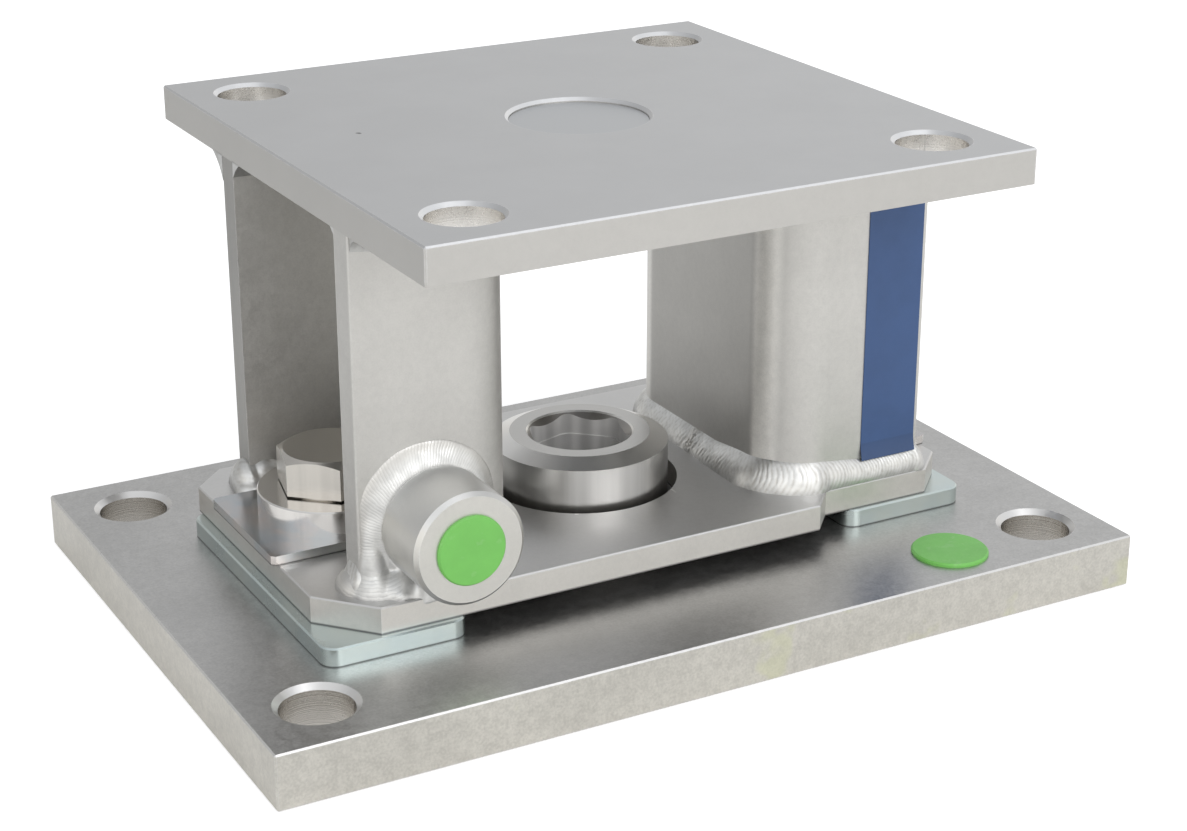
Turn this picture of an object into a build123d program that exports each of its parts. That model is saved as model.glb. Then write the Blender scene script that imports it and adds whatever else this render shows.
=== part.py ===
from build123d import *

import math
import os

# Weighing module for a canister load cell, without its load cell. A base plate carries the lower
# receiver. A welded yoke of a foot plate, two channel posts and a top plate stands over it on two
# forked shims, and two hold-down bolts clamp it for transport.
# Millimetres. Origin at the middle of the base plate's underside, +X along the base, +Z up.
# The front is the side of the round boss, at -Y.

# Base plate
BASE_LENGTH = 295.0
BASE_WIDTH = 200.0
BASE_THICKNESS = 17.5

# Top plate, and how high it stands
TOP_SIDE = 198.0
TOP_THICKNESS = 11.0
OVERALL_HEIGHT = 152.0
PLATE_EDGE_BREAK = 0.5

# Anchor holes in both plates, for M20 bolts
ANCHOR_HOLE_DIAMETER = 22.0
BASE_HOLE_END_DISTANCE = 21.5
BASE_HOLE_SIDE_DISTANCE = 22.0
BASE_HOLE_CHAMFER = 1.7
TOP_HOLE_EDGE_DISTANCE = 22.0
TOP_HOLE_CHAMFER = 1.2

# Channel posts, each bent from one strip of plate and open to the outside
POST_WIDTH = 95.5
POST_WALL = 9.0
POST_BEND_RADIUS = 18.0
POST_GAP = 90.0
POST_EDGE_BREAK = 0.6

# Foot plate of the yoke, set back at its front right for a side link
FOOT_LENGTH = 225.0
FOOT_THICKNESS = 8.5
FOOT_FRONT_LEDGE = 11.4
FOOT_NARROW_LEDGE = 2.7
FOOT_BACK_LEDGE = 13.7
FOOT_STEP_X = 54.4
FOOT_STEP_RUN = 8.0
FOOT_CORNER_CUT = 11.0
FOOT_BOSS_CORNER_X = 15.0
FOOT_BOSS_CORNER_Y = 17.0
FOOT_EDGE_BREAK = 0.4
FOOT_BOLT_HOLE_DIAMETER = 32.0

# Hold-down bolts, M20 x 40
BOLT_DIAMETER = 20.0
BOLT_LENGTH = 40.0
BOLT_HEAD_FLATS = 30.0
BOLT_HEAD_HEIGHT = 12.5
BOLT_FACE_HEIGHT = 0.6
BOLT_FACE_DIAMETER = 28.0
BOLT_TOP_DIAMETER = 28.4
BOLT_HEAD_CHAMFER_ANGLE = 30.0
BOLT_TIP_CHAMFER = 1.5
BOLT_TURN = 18.0
BOLT_END_DISTANCE = 28.5
BOLT_OFFSET_Y = 8.3
THREAD_CLEARANCE = 0.05

# Thick round washer and rectangular cover plate under each bolt head
WASHER_DIAMETER = 46.2
WASHER_THICKNESS = 8.5
WASHER_EDGE_BREAK = 0.4
WASHER_HOLE_CLEARANCE = 1.25
WASHER_SET_OFF = 0.9
COVER_WIDTH = 50.5
COVER_THICKNESS = 3.0
COVER_OVERHANG = 1.8
COVER_WEB_GAP = 0.4
COVER_CORNER_CUT = 1.2

# Transport shims, forked so that they slide off the bolts outwards
SHIM_DEPTH = 46.0
SHIM_LENGTH = 110.0
SHIM_THICKNESS = 6.0
SHIM_CORNER_RADIUS = 5.0
SHIM_EDGE_BREAK = 0.5
SHIM_OVERHANG = 3.5
SHIM_SLOT_CLEARANCE = 3.0
SHIM_SLOT_OFFSET = 13.0
SHIM_SIDE_PLAY = 1.7

# Lower receiver, a turned ring with a hexagon socket, standing in a pocket of the base plate
RECEIVER_DIAMETER = 57.2
RECEIVER_RISE = 30.2
RECEIVER_POCKET_DEPTH = 4.0
RECEIVER_POCKET_CLEARANCE = 0.1
RECEIVER_BEVEL_WIDTH = 5.8
RECEIVER_BEVEL_HEIGHT = 2.6
RECEIVER_YOKE_GAP = 3.1
SOCKET_FLATS = 30.0
SOCKET_CORNER_RADIUS = 5.0
SOCKET_MOUTH_DIAMETER = 34.8
SOCKET_DEPTH = 24.0
SOCKET_STEP = 0.4
SOCKET_STEP_DEPTH = 7.7
SOCKET_TURN = 17.0

# Upper receiver, let into the top plate from below
UPPER_BORE_DIAMETER = 43.6
UPPER_BORE_CHAMFER = 1.0
UPPER_SPIGOT_CLEARANCE = 0.1
UPPER_RECESS = 1.4
UPPER_FLANGE_DIAMETER = 58.0
UPPER_FLANGE_THICKNESS = 7.0
UPPER_FLANGE_CHAMFER = 1.0

# Bore in the upper receiver for the load cell's head, and the rubber ring in its groove
CELL_HEAD_DIAMETER = 26.0
CELL_HEAD_DEPTH = 11.0
CELL_HEAD_CHAMFER = 1.0
RING_WIDTH = 3.0
RING_SQUEEZE = 0.9
RING_FACETS = 48
RING_GROOVE_CLEARANCE = 0.1
RING_GROOVE_ABOVE_MOUTH = 3.0

# Round boss on the front of the left post, tapped for a side link
BOSS_DIAMETER = 35.0
BOSS_LENGTH = 25.2
BOSS_X = 75.0
BOSS_RISE = 1.5
BOSS_FACE_CHAMFER = 1.2
BOSS_HOLE_DIAMETER = 14.0
BOSS_HOLE_DEPTH = 20.0

# Tapped hole in the base plate for the link's other end
LINK_HOLE_DIAMETER = 17.5
LINK_HOLE_X = 88.8
LINK_HOLE_SIDE_DISTANCE = 18.2
LINK_HOLE_DEPTH = 14.0

# Push-in plugs in the two tapped holes
PLUG_HEAD_THICKNESS = 1.2
PLUG_HEAD_BREAK = 0.5
BOSS_PLUG_DIAMETER = 21.5
BASE_PLUG_DIAMETER = 24.4
PLUG_STEM_LENGTH = 8.0
PLUG_STEM_WALL = 1.6
PLUG_RIB_CLEARANCE = 0.05
PLUG_RIB_DEPTH = 0.35
PLUG_RIB_PITCH = 3.2
PLUG_RIB_COUNT = 2
PLUG_STEM_FACETS = 24

# Weld beads: leg along the plate, rise along the post, and how far the face swells or sinks
FOOT_WELD_LEG = 7.0
FOOT_WELD_RISE = 7.4
FOOT_WELD_SWELL = 0.7
TOP_WELD_LEG = 9.0
TOP_WELD_DROP = 9.5
TOP_WELD_SINK = 1.4
INNER_WELD_LEG = 5.5
INNER_WELD_DROP = 5.0
INNER_WELD_SINK = 0.7

# Bead round the boss: a ring set high, a tongue down its left side and a ground saddle under it
BOSS_WELD_LEG = 4.1
BOSS_WELD_RAISE = 2.0
BOSS_WELD_REACH = 2.8
BOSS_WELD_TOE = 0.4
TONGUE_END_DISTANCE = 1.2
TONGUE_WIDTH = 14.0
TONGUE_REACH = 6.0
SADDLE_HALF_WIDTH = 15.5
SADDLE_SLOPE = 5.0
SADDLE_LAP = 1.2
SADDLE_DROP = 3.2
SADDLE_REACH = 8.0

# Colour band on the front of the right post
BAND_WIDTH = 20.6
BAND_THICKNESS = 0.3
BAND_END_DISTANCE = 1.5
BAND_WELD_GAP = 1.2

# Levels and places that follow from the sizes above
base_top = BASE_THICKNESS
foot_bottom = base_top + SHIM_THICKNESS
foot_top = foot_bottom + FOOT_THICKNESS
cover_top = foot_top + COVER_THICKNESS
washer_top = cover_top + WASHER_THICKNESS
top_bottom = OVERALL_HEIGHT - TOP_THICKNESS
post_half = POST_WIDTH / 2
post_inner = post_half - POST_WALL
web_outer = POST_GAP / 2
web_inner = web_outer + POST_WALL
post_end = TOP_SIDE / 2
foot_end = FOOT_LENGTH / 2
foot_front = post_half + FOOT_FRONT_LEDGE
bolt_x = foot_end - BOLT_END_DISTANCE
receiver_radius = RECEIVER_DIAMETER / 2
receiver_top = base_top + RECEIVER_RISE
boss_radius = BOSS_DIAMETER / 2
boss_z = foot_top + BOSS_RISE + boss_radius
boss_face = post_half + BOSS_LENGTH
link_hole_y = LINK_HOLE_SIDE_DISTANCE - BASE_WIDTH / 2
bore_radius = UPPER_BORE_DIAMETER / 2
head_radius = CELL_HEAD_DIAMETER / 2
upper_mouth = top_bottom - UPPER_FLANGE_THICKNESS
ring_inner = head_radius - RING_SQUEEZE
ring_outer = ring_inner + RING_WIDTH
ring_bottom = upper_mouth + RING_GROOVE_ABOVE_MOUTH
ring_top = ring_bottom + RING_WIDTH

# Turns the Z axis of a turned piece to the front
facing_front = Rotation(90, 0, 0)


def block(x_size, y_size, z_low, z_high):
    """A box centred on the Z axis, between two levels."""
    box = Box(x_size, y_size, z_high - z_low, align=(Align.CENTER, Align.CENTER, Align.MIN))
    return Pos(0, 0, z_low) * box


def bar(x, y, z_low, z_high, diameter):
    """A round bar along Z: a shank, or a drill."""
    rod = Cylinder(diameter / 2, z_high - z_low, align=(Align.CENTER, Align.CENTER, Align.MIN))
    return Pos(x, y, z_low) * rod


def cone(x, y, z_low, z_high, low_diameter, high_diameter):
    """A cone frustum along Z."""
    solid = Cone(
        low_diameter / 2, high_diameter / 2, z_high - z_low, align=(Align.CENTER, Align.CENTER, Align.MIN)
    )
    return Pos(x, y, z_low) * solid


def turned(points):
    """A solid of revolution about Z from its half section, given as radius and height."""
    return revolve(Plane.XZ * make_face(Polyline(*points, close=True)), Axis.Z)


def half_turn(shape):
    """The same piece at the other end of the module."""
    return shape.rotate(Axis.Z, 180)


def anchor_holes(x, y, z_low, z_high, edge_break):
    """Four through holes in a rectangle, broken at their upper edges."""
    narrow = ANCHOR_HOLE_DIAMETER
    wide = ANCHOR_HOLE_DIAMETER + 2 * edge_break
    cutters = []
    for place in GridLocations(2 * x, 2 * y, 2, 2):
        hole_x = place.position.X
        hole_y = place.position.Y
        cutters.append(bar(hole_x, hole_y, z_low, z_high, narrow))
        cutters.append(cone(hole_x, hole_y, z_high - edge_break, z_high, narrow, wide))
    return cutters


def base_plate():
    """Thick plate with anchor holes, the receiver's pocket and three tapped holes."""
    plate = block(BASE_LENGTH, BASE_WIDTH, 0, base_top)
    plate = chamfer(plate.edges(), PLATE_EDGE_BREAK)
    hole_x = BASE_LENGTH / 2 - BASE_HOLE_END_DISTANCE
    hole_y = BASE_WIDTH / 2 - BASE_HOLE_SIDE_DISTANCE
    plate -= anchor_holes(hole_x, hole_y, 0, base_top, BASE_HOLE_CHAMFER)
    pocket_diameter = RECEIVER_DIAMETER + 2 * RECEIVER_POCKET_CLEARANCE
    plate -= bar(0, 0, base_top - RECEIVER_POCKET_DEPTH, base_top, pocket_diameter)
    thread_diameter = BOLT_DIAMETER + 2 * THREAD_CLEARANCE
    plate -= bar(bolt_x, -BOLT_OFFSET_Y, 0, base_top, thread_diameter)
    plate -= bar(-bolt_x, BOLT_OFFSET_Y, 0, base_top, thread_diameter)
    plate -= bar(LINK_HOLE_X, link_hole_y, base_top - LINK_HOLE_DEPTH, base_top, LINK_HOLE_DIAMETER)
    return plate


def top_plate():
    """Square plate that carries the vessel's foot, bored for the upper receiver."""
    plate = block(TOP_SIDE, TOP_SIDE, top_bottom, OVERALL_HEIGHT)
    welded_edges = plate.edges().group_by(Axis.Z)[0]
    plate = chamfer(plate.edges() - welded_edges, PLATE_EDGE_BREAK)
    hole = TOP_SIDE / 2 - TOP_HOLE_EDGE_DISTANCE
    plate -= anchor_holes(hole, hole, top_bottom, OVERALL_HEIGHT, TOP_HOLE_CHAMFER)
    plate -= bar(0, 0, top_bottom, OVERALL_HEIGHT, UPPER_BORE_DIAMETER)
    wide = UPPER_BORE_DIAMETER + 2 * UPPER_BORE_CHAMFER
    plate -= cone(0, 0, OVERALL_HEIGHT - UPPER_BORE_CHAMFER, OVERALL_HEIGHT, UPPER_BORE_DIAMETER, wide)
    return plate


def foot_prism(z_low, z_high):
    """The foot plate's outline, raised between two levels."""
    narrow = post_half + FOOT_NARROW_LEDGE
    back = post_half + FOOT_BACK_LEDGE
    outline = Polyline(
        (-foot_end, FOOT_BOSS_CORNER_Y - foot_front),
        (FOOT_BOSS_CORNER_X - foot_end, -foot_front),
        (FOOT_STEP_X, -foot_front),
        (FOOT_STEP_X + FOOT_STEP_RUN, -narrow),
        (foot_end - FOOT_CORNER_CUT, -narrow),
        (foot_end, FOOT_CORNER_CUT - narrow),
        (foot_end, back - FOOT_CORNER_CUT),
        (foot_end - FOOT_CORNER_CUT, back),
        (FOOT_CORNER_CUT - foot_end, back),
        (-foot_end, back - FOOT_CORNER_CUT),
        close=True,
    )
    return extrude(Pos(0, 0, z_low) * make_face(outline), z_high - z_low)


def foot_plate():
    """Plate under both posts, open in the middle for the lower receiver."""
    plate = foot_prism(foot_bottom, foot_top)
    plate = chamfer(plate.edges().group_by(Axis.Z)[-1], FOOT_EDGE_BREAK)
    plate -= bar(0, 0, foot_bottom, foot_top, RECEIVER_DIAMETER + 2 * RECEIVER_YOKE_GAP)
    plate -= bar(bolt_x, -BOLT_OFFSET_Y, foot_bottom, foot_top, FOOT_BOLT_HOLE_DIAMETER)
    plate -= bar(-bolt_x, BOLT_OFFSET_Y, foot_bottom, foot_top, FOOT_BOLT_HOLE_DIAMETER)
    return plate


def channel_line(half_width, web_x, radius):
    """One face of the right post in plan: flange, bend, web, bend and flange."""
    corners = [(post_end, -half_width), (web_x, -half_width), (web_x, half_width), (post_end, half_width)]
    return FilletPolyline(*corners, radius=radius)


def channel_post():
    """The right post, bent round two corners and open to +X."""
    outer = channel_line(post_half, web_outer, POST_BEND_RADIUS)
    inner = channel_line(post_inner, web_inner, POST_BEND_RADIUS - POST_WALL)
    ends = [Line(outer @ 0, inner @ 0), Line(outer @ 1, inner @ 1)]
    section = make_face([*outer.edges(), *inner.edges(), *ends])
    post = extrude(Pos(0, 0, foot_top) * section, top_bottom - foot_top)
    end_edges = post.edges().filter_by(Axis.Z).group_by(Axis.X)[-1]
    return fillet(end_edges.sort_by(Axis.Y)[0::3], POST_EDGE_BREAK)


def bead(line, level, tangent, outward, leg, rise, swell):
    """A fillet weld swept along a line in plan, its root on the line at one level."""
    middle = Vector(leg / 2, rise / 2)
    crown = middle + middle.normalized() * swell
    section = make_face(Polyline((0, 0), (leg, 0), crown, (0, rise), close=True))
    path = Pos(0, 0, level) * line
    plane = Plane(origin=path @ 0, x_dir=outward, z_dir=tangent)
    return sweep(plane * section, path=path)


def foot_weld():
    """Bead round the foot of the right post, returned round both flange ends."""
    corners = [
        (post_end, -post_inner),
        (post_end, -post_half),
        (web_outer, -post_half),
        (web_outer, post_half),
        (post_end, post_half),
        (post_end, post_inner),
    ]
    radii = [POST_EDGE_BREAK, POST_BEND_RADIUS, POST_BEND_RADIUS, POST_EDGE_BREAK]
    line = FilletPolyline(*corners, radius=radii)
    return bead(line, foot_top, (0, -1, 0), (1, 0, 0), FOOT_WELD_LEG, FOOT_WELD_RISE, FOOT_WELD_SWELL)


def on_foot(weld):
    """A foot weld trimmed where it would run over the edge of the foot plate."""
    return weld & foot_prism(foot_top, foot_top + 2 * FOOT_WELD_RISE)


def top_weld():
    """Bead round the outside of the right post, under the top plate."""
    line = channel_line(post_half, web_outer, POST_BEND_RADIUS)
    return bead(line, top_bottom, (-1, 0, 0), (0, -1, 0), TOP_WELD_LEG, -TOP_WELD_DROP, -TOP_WELD_SINK)


def inner_weld():
    """Bead round the inside of the right post, under the top plate."""
    line = channel_line(post_inner, web_inner, POST_BEND_RADIUS - POST_WALL)
    return bead(line, top_bottom, (-1, 0, 0), (0, -1, 0), -INNER_WELD_LEG, -INNER_WELD_DROP, -INNER_WELD_SINK)


def boss_bar(depth_to_face):
    """The boss's round bar without its hole, from the post's face to the given distance out."""
    rod = bar(0, 0, post_half, depth_to_face, BOSS_DIAMETER)
    return Pos(-BOSS_X, 0, boss_z) * facing_front * rod


def side_boss():
    """Round bar welded to the front of the left post, tapped from its face."""
    hole_bottom = boss_face - BOSS_HOLE_DEPTH
    hole_radius = BOSS_HOLE_DIAMETER / 2
    section = [
        (0, post_half),
        (boss_radius, post_half),
        (boss_radius, boss_face - BOSS_FACE_CHAMFER),
        (boss_radius - BOSS_FACE_CHAMFER, boss_face),
        (hole_radius, boss_face),
        (hole_radius, hole_bottom),
        (0, hole_bottom),
    ]
    return Pos(-BOSS_X, 0, boss_z) * facing_front * turned(section)


def boss_weld_ring():
    """Bead round the boss, set higher than the boss so that it is widest on top."""
    toe = post_half + BOSS_WELD_REACH
    on_post = Pos(0, BOSS_WELD_RAISE, post_half) * Circle(boss_radius + BOSS_WELD_LEG)
    on_boss = Pos(0, 0, toe) * Circle(boss_radius + BOSS_WELD_TOE)
    return Pos(-BOSS_X, 0, boss_z) * facing_front * loft([on_post, on_boss], ruled=True)


def boss_weld_tongue():
    """Run of weld from the foot plate up the boss's left side into the ring."""
    outer_x = TONGUE_END_DISTANCE - post_end
    top_width = BOSS_WELD_LEG
    foot = Pos(outer_x, -post_half, foot_top) * Rectangle(
        TONGUE_WIDTH, TONGUE_REACH, align=(Align.MIN, Align.MAX)
    )
    top = Pos(-BOSS_X - boss_radius - top_width + BOSS_WELD_TOE, -post_half, boss_z) * Rectangle(
        top_width, BOSS_WELD_REACH, align=(Align.MIN, Align.MAX)
    )
    return loft([foot, top], ruled=True)


def boss_weld_saddle():
    """Ground weld that closes the gap under the boss and laps over the foot plate's front edge."""
    boss_bottom = boss_z - boss_radius
    profile = Polyline(
        (-post_half, foot_top),
        (-foot_front, foot_top),
        (-foot_front, foot_top - SADDLE_DROP),
        (-foot_front - SADDLE_LAP, foot_top),
        (-post_half - BOSS_LENGTH + SADDLE_REACH, boss_bottom + BOSS_RISE),
        (-post_half, boss_z),
        close=True,
    )
    solid = extrude(Plane.YZ * make_face(profile), SADDLE_HALF_WIDTH, both=True)
    flank = Polyline(
        (-SADDLE_HALF_WIDTH, foot_top - SADDLE_DROP),
        (SADDLE_HALF_WIDTH, foot_top - SADDLE_DROP),
        (SADDLE_HALF_WIDTH - SADDLE_SLOPE, boss_z),
        (SADDLE_SLOPE - SADDLE_HALF_WIDTH, boss_z),
        close=True,
    )
    solid &= extrude(Plane.XZ * make_face(flank), 2 * boss_face, both=True)
    return Pos(-BOSS_X, 0, 0) * solid


def boss_weld(neighbours):
    """The whole bead of the boss, lying against its neighbours."""
    weld = boss_weld_ring() + boss_weld_tongue() + boss_weld_saddle()
    for neighbour in neighbours:
        weld -= neighbour
    return weld


def rounded_hexagon(flats):
    """Hexagon section of the socket, given across its flats."""
    outline = RegularPolygon(flats / 2, 6, major_radius=False, rotation=SOCKET_TURN)
    return fillet(outline.vertices(), SOCKET_CORNER_RADIUS)


def lower_receiver():
    """Turned ring with a countersunk hexagon socket that steps in below its mouth."""
    foot = base_top - RECEIVER_POCKET_DEPTH
    section = [
        (0, foot),
        (receiver_radius, foot),
        (receiver_radius, receiver_top - RECEIVER_BEVEL_HEIGHT),
        (receiver_radius - RECEIVER_BEVEL_WIDTH, receiver_top),
        (0, receiver_top),
    ]
    ring = turned(section)
    step_level = receiver_top - SOCKET_STEP_DEPTH
    socket_bottom = receiver_top - SOCKET_DEPTH
    upper = Pos(0, 0, step_level) * rounded_hexagon(SOCKET_FLATS)
    lower = Pos(0, 0, socket_bottom) * rounded_hexagon(SOCKET_FLATS - 2 * SOCKET_STEP)
    ring -= extrude(upper, SOCKET_STEP_DEPTH)
    ring -= extrude(lower, SOCKET_DEPTH)
    sink_depth = SOCKET_MOUTH_DIAMETER / 2
    ring -= cone(0, 0, receiver_top - sink_depth, receiver_top, 0, SOCKET_MOUTH_DIAMETER)
    return ring


def upper_receiver():
    """Turned disc with a flange under the top plate and a bore for the load cell's head."""
    spigot_radius = bore_radius - UPPER_SPIGOT_CLEARANCE
    spigot_top = OVERALL_HEIGHT - UPPER_RECESS
    flange_radius = UPPER_FLANGE_DIAMETER / 2
    section = [
        (0, spigot_top),
        (spigot_radius, spigot_top),
        (spigot_radius, top_bottom),
        (flange_radius, top_bottom),
        (flange_radius, upper_mouth + UPPER_FLANGE_CHAMFER),
        (flange_radius - UPPER_FLANGE_CHAMFER, upper_mouth),
        (head_radius + CELL_HEAD_CHAMFER, upper_mouth),
        (head_radius, upper_mouth + CELL_HEAD_CHAMFER),
        (head_radius, upper_mouth + CELL_HEAD_DEPTH),
        (0, upper_mouth + CELL_HEAD_DEPTH),
    ]
    groove_bottom = ring_bottom - RING_GROOVE_CLEARANCE
    groove_top = ring_top + RING_GROOVE_CLEARANCE
    groove_diameter = 2 * (ring_outer + RING_GROOVE_CLEARANCE)
    return turned(section) - bar(0, 0, groove_bottom, groove_top, groove_diameter)


def upper_receiver_ring():
    """Square-cut rubber ring that grips the load cell's head."""
    section = RegularPolygon(ring_outer, RING_FACETS) - RegularPolygon(ring_inner, RING_FACETS)
    return extrude(Pos(0, 0, ring_bottom) * section, RING_WIDTH)


def hold_down_bolt():
    """The right bolt: washer-faced hexagon head with a 30 degree chamfer, and a plain shank."""
    face_top = washer_top + BOLT_FACE_HEIGHT
    head_top = washer_top + BOLT_HEAD_HEIGHT
    corner_radius = BOLT_HEAD_FLATS / 2 / math.cos(math.radians(30))
    top_radius = BOLT_TOP_DIAMETER / 2
    slope = math.tan(math.radians(BOLT_HEAD_CHAMFER_ANGLE))
    chamfer_drop = (corner_radius - top_radius) * slope
    hexagon = RegularPolygon(BOLT_HEAD_FLATS / 2, 6, major_radius=False, rotation=BOLT_TURN)
    head = extrude(Pos(0, 0, face_top) * hexagon, head_top - face_top)
    head &= turned(
        [
            (0, face_top),
            (corner_radius, face_top),
            (corner_radius, head_top - chamfer_drop),
            (top_radius, head_top),
            (0, head_top),
        ]
    )
    shank_radius = BOLT_DIAMETER / 2
    tip = washer_top - BOLT_LENGTH
    face_radius = BOLT_FACE_DIAMETER / 2
    shank = turned(
        [
            (0, tip),
            (shank_radius - BOLT_TIP_CHAMFER, tip),
            (shank_radius, tip + BOLT_TIP_CHAMFER),
            (shank_radius, washer_top),
            (face_radius, washer_top),
            (face_radius, face_top),
            (0, face_top),
        ]
    )
    return Pos(bolt_x, -BOLT_OFFSET_Y, 0) * (head + shank)


def round_washer():
    """The right thick washer, lying a little off the bolt's middle."""
    outer = WASHER_DIAMETER / 2
    inner = BOLT_DIAMETER / 2 + WASHER_HOLE_CLEARANCE
    section = [
        (inner, cover_top),
        (outer, cover_top),
        (outer, washer_top - WASHER_EDGE_BREAK),
        (outer - WASHER_EDGE_BREAK, washer_top),
        (inner, washer_top),
    ]
    return Pos(bolt_x, WASHER_SET_OFF - BOLT_OFFSET_Y, 0) * turned(section)


def cover_plate():
    """The right cover plate, from the post's web to just past the foot plate's end."""
    inner_x = web_inner + COVER_WEB_GAP
    outer_x = foot_end + COVER_OVERHANG
    middle_y = WASHER_SET_OFF - BOLT_OFFSET_Y
    plate = block(outer_x - inner_x, COVER_WIDTH, foot_top, cover_top)
    plate = chamfer(plate.edges().filter_by(Axis.Z), COVER_CORNER_CUT)
    plate = Pos((inner_x + outer_x) / 2, middle_y, 0) * plate
    hole_diameter = BOLT_DIAMETER + 2 * WASHER_HOLE_CLEARANCE
    return plate - bar(bolt_x, middle_y, foot_top, cover_top, hole_diameter)


def shim():
    """The right shim: a fork open to the middle, its closed side outside."""
    outer_x = foot_end + SHIM_OVERHANG
    inner_x = outer_x - SHIM_DEPTH
    middle = Pos((inner_x + outer_x) / 2, SHIM_SLOT_OFFSET - BOLT_OFFSET_Y)
    outline = middle * RectangleRounded(SHIM_DEPTH, SHIM_LENGTH, SHIM_CORNER_RADIUS)
    slot_radius = BOLT_DIAMETER / 2 + SHIM_SLOT_CLEARANCE
    outline -= Pos(bolt_x, -BOLT_OFFSET_Y) * Circle(slot_radius)
    channel = Rectangle(SHIM_DEPTH, 2 * slot_radius, align=(Align.MAX, Align.CENTER))
    outline -= Pos(bolt_x, -BOLT_OFFSET_Y) * channel
    fork = extrude(Pos(0, 0, base_top) * outline, SHIM_THICKNESS)
    return chamfer(fork.edges().group_by(Axis.Z)[-1], SHIM_EDGE_BREAK)


def stem_section(level, radius):
    """Section of a plug's stem at a level, with flat facets instead of a round."""
    return Pos(0, 0, level) * RegularPolygon(radius, PLUG_STEM_FACETS)


def plug(head_diameter, hole_diameter, level):
    """Green plug with a thin head at a level and a hollow ribbed stem below it."""
    rib_radius = hole_diameter / 2 - PLUG_RIB_CLEARANCE
    stem_radius = rib_radius - PLUG_RIB_DEPTH
    stem_bottom = level - PLUG_STEM_LENGTH
    head = bar(0, 0, level, level + PLUG_HEAD_THICKNESS, head_diameter)
    head = chamfer(head.edges().group_by(Axis.Z)[-1], PLUG_HEAD_BREAK)
    stem = extrude(stem_section(stem_bottom, stem_radius), PLUG_STEM_LENGTH)
    for index in range(PLUG_RIB_COUNT):
        rib_top = level - (index + 0.5) * PLUG_RIB_PITCH
        rib_bottom = rib_top - PLUG_RIB_PITCH / 2
        stem += loft([stem_section(rib_bottom, stem_radius), stem_section(rib_top, rib_radius)], ruled=True)
    stem -= extrude(stem_section(stem_bottom, stem_radius - PLUG_STEM_WALL), PLUG_STEM_LENGTH)
    return head + stem


def boss_plug():
    """Plug in the boss, facing the front."""
    return Pos(-BOSS_X, 0, boss_z) * facing_front * plug(BOSS_PLUG_DIAMETER, BOSS_HOLE_DIAMETER, boss_face)


def base_plug():
    """Plug in the base plate's link hole."""
    return Pos(LINK_HOLE_X, link_hole_y, 0) * plug(BASE_PLUG_DIAMETER, LINK_HOLE_DIAMETER, base_top)


def colour_band():
    """Plain strip on the front flange of the right post, between its two welds."""
    low = foot_top + FOOT_WELD_RISE + BAND_WELD_GAP
    high = top_bottom - TOP_WELD_DROP - BAND_WELD_GAP
    strip = Box(BAND_WIDTH, BAND_THICKNESS, high - low, align=(Align.MAX, Align.MAX, Align.MIN))
    return Pos(post_end - BAND_END_DISTANCE, -post_half, low) * strip


def module():
    """Every piece of the module by name."""
    right_post = channel_post()
    right_foot_weld = foot_weld()
    rod = boss_bar(boss_face)
    left_foot_weld = on_foot(half_turn(right_foot_weld)) - rod
    right_top_weld = top_weld()
    right_inner_weld = inner_weld()
    right_bolt = hold_down_bolt()
    right_washer = round_washer()
    right_cover = cover_plate()
    right_shim = shim()
    side_play = Pos(0, -SHIM_SIDE_PLAY, 0)
    return {
        "base_plate": base_plate(),
        "lower_receiver": lower_receiver(),
        "foot_plate": foot_plate(),
        "left_post": half_turn(right_post),
        "right_post": right_post,
        "top_plate": top_plate(),
        "left_post_foot_weld": left_foot_weld,
        "right_post_foot_weld": on_foot(right_foot_weld),
        "left_post_top_weld": half_turn(right_top_weld),
        "right_post_top_weld": right_top_weld,
        "left_post_inner_weld": half_turn(right_inner_weld),
        "right_post_inner_weld": right_inner_weld,
        "side_boss": side_boss(),
        "boss_weld": boss_weld([rod, left_foot_weld, foot_prism(0, foot_top)]),
        "upper_receiver": upper_receiver(),
        "upper_receiver_ring": upper_receiver_ring(),
        "left_hold_down_bolt": half_turn(right_bolt),
        "right_hold_down_bolt": right_bolt,
        "left_round_washer": half_turn(right_washer),
        "right_round_washer": right_washer,
        "left_cover_plate": half_turn(right_cover),
        "right_cover_plate": right_cover,
        "left_shim": side_play * half_turn(right_shim),
        "right_shim": side_play * right_shim,
        "boss_plug": boss_plug(),
        "base_plug": base_plug(),
        "colour_band": colour_band(),
    }


os.makedirs("parts", exist_ok=True)
for name, piece in module().items():
    piece.label = name
    export_step(piece, f"parts/{name}.step")
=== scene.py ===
import logging
import math
from dataclasses import dataclass
from enum import Enum

import bpy
import numpy as np
from mathutils import Matrix, Vector
from mathutils.bvhtree import BVHTree


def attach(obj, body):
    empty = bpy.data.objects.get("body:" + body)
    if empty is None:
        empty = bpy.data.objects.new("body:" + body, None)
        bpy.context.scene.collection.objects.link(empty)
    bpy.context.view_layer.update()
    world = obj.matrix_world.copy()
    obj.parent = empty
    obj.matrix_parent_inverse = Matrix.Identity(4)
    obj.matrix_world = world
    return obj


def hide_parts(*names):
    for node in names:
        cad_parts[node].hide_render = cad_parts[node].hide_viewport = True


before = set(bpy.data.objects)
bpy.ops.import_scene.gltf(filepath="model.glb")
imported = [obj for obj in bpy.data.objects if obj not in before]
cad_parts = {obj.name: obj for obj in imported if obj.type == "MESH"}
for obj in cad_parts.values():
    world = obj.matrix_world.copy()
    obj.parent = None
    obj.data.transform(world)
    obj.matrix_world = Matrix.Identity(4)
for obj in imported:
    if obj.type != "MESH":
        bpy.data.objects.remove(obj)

LOG = logging.getLogger("weighing_module")
MM = 0.001
MERGE_DISTANCE = 2e-6

Colour = tuple[float, float, float, float]
Point = tuple[float, float, float]
Series = tuple[float, ...]

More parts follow.
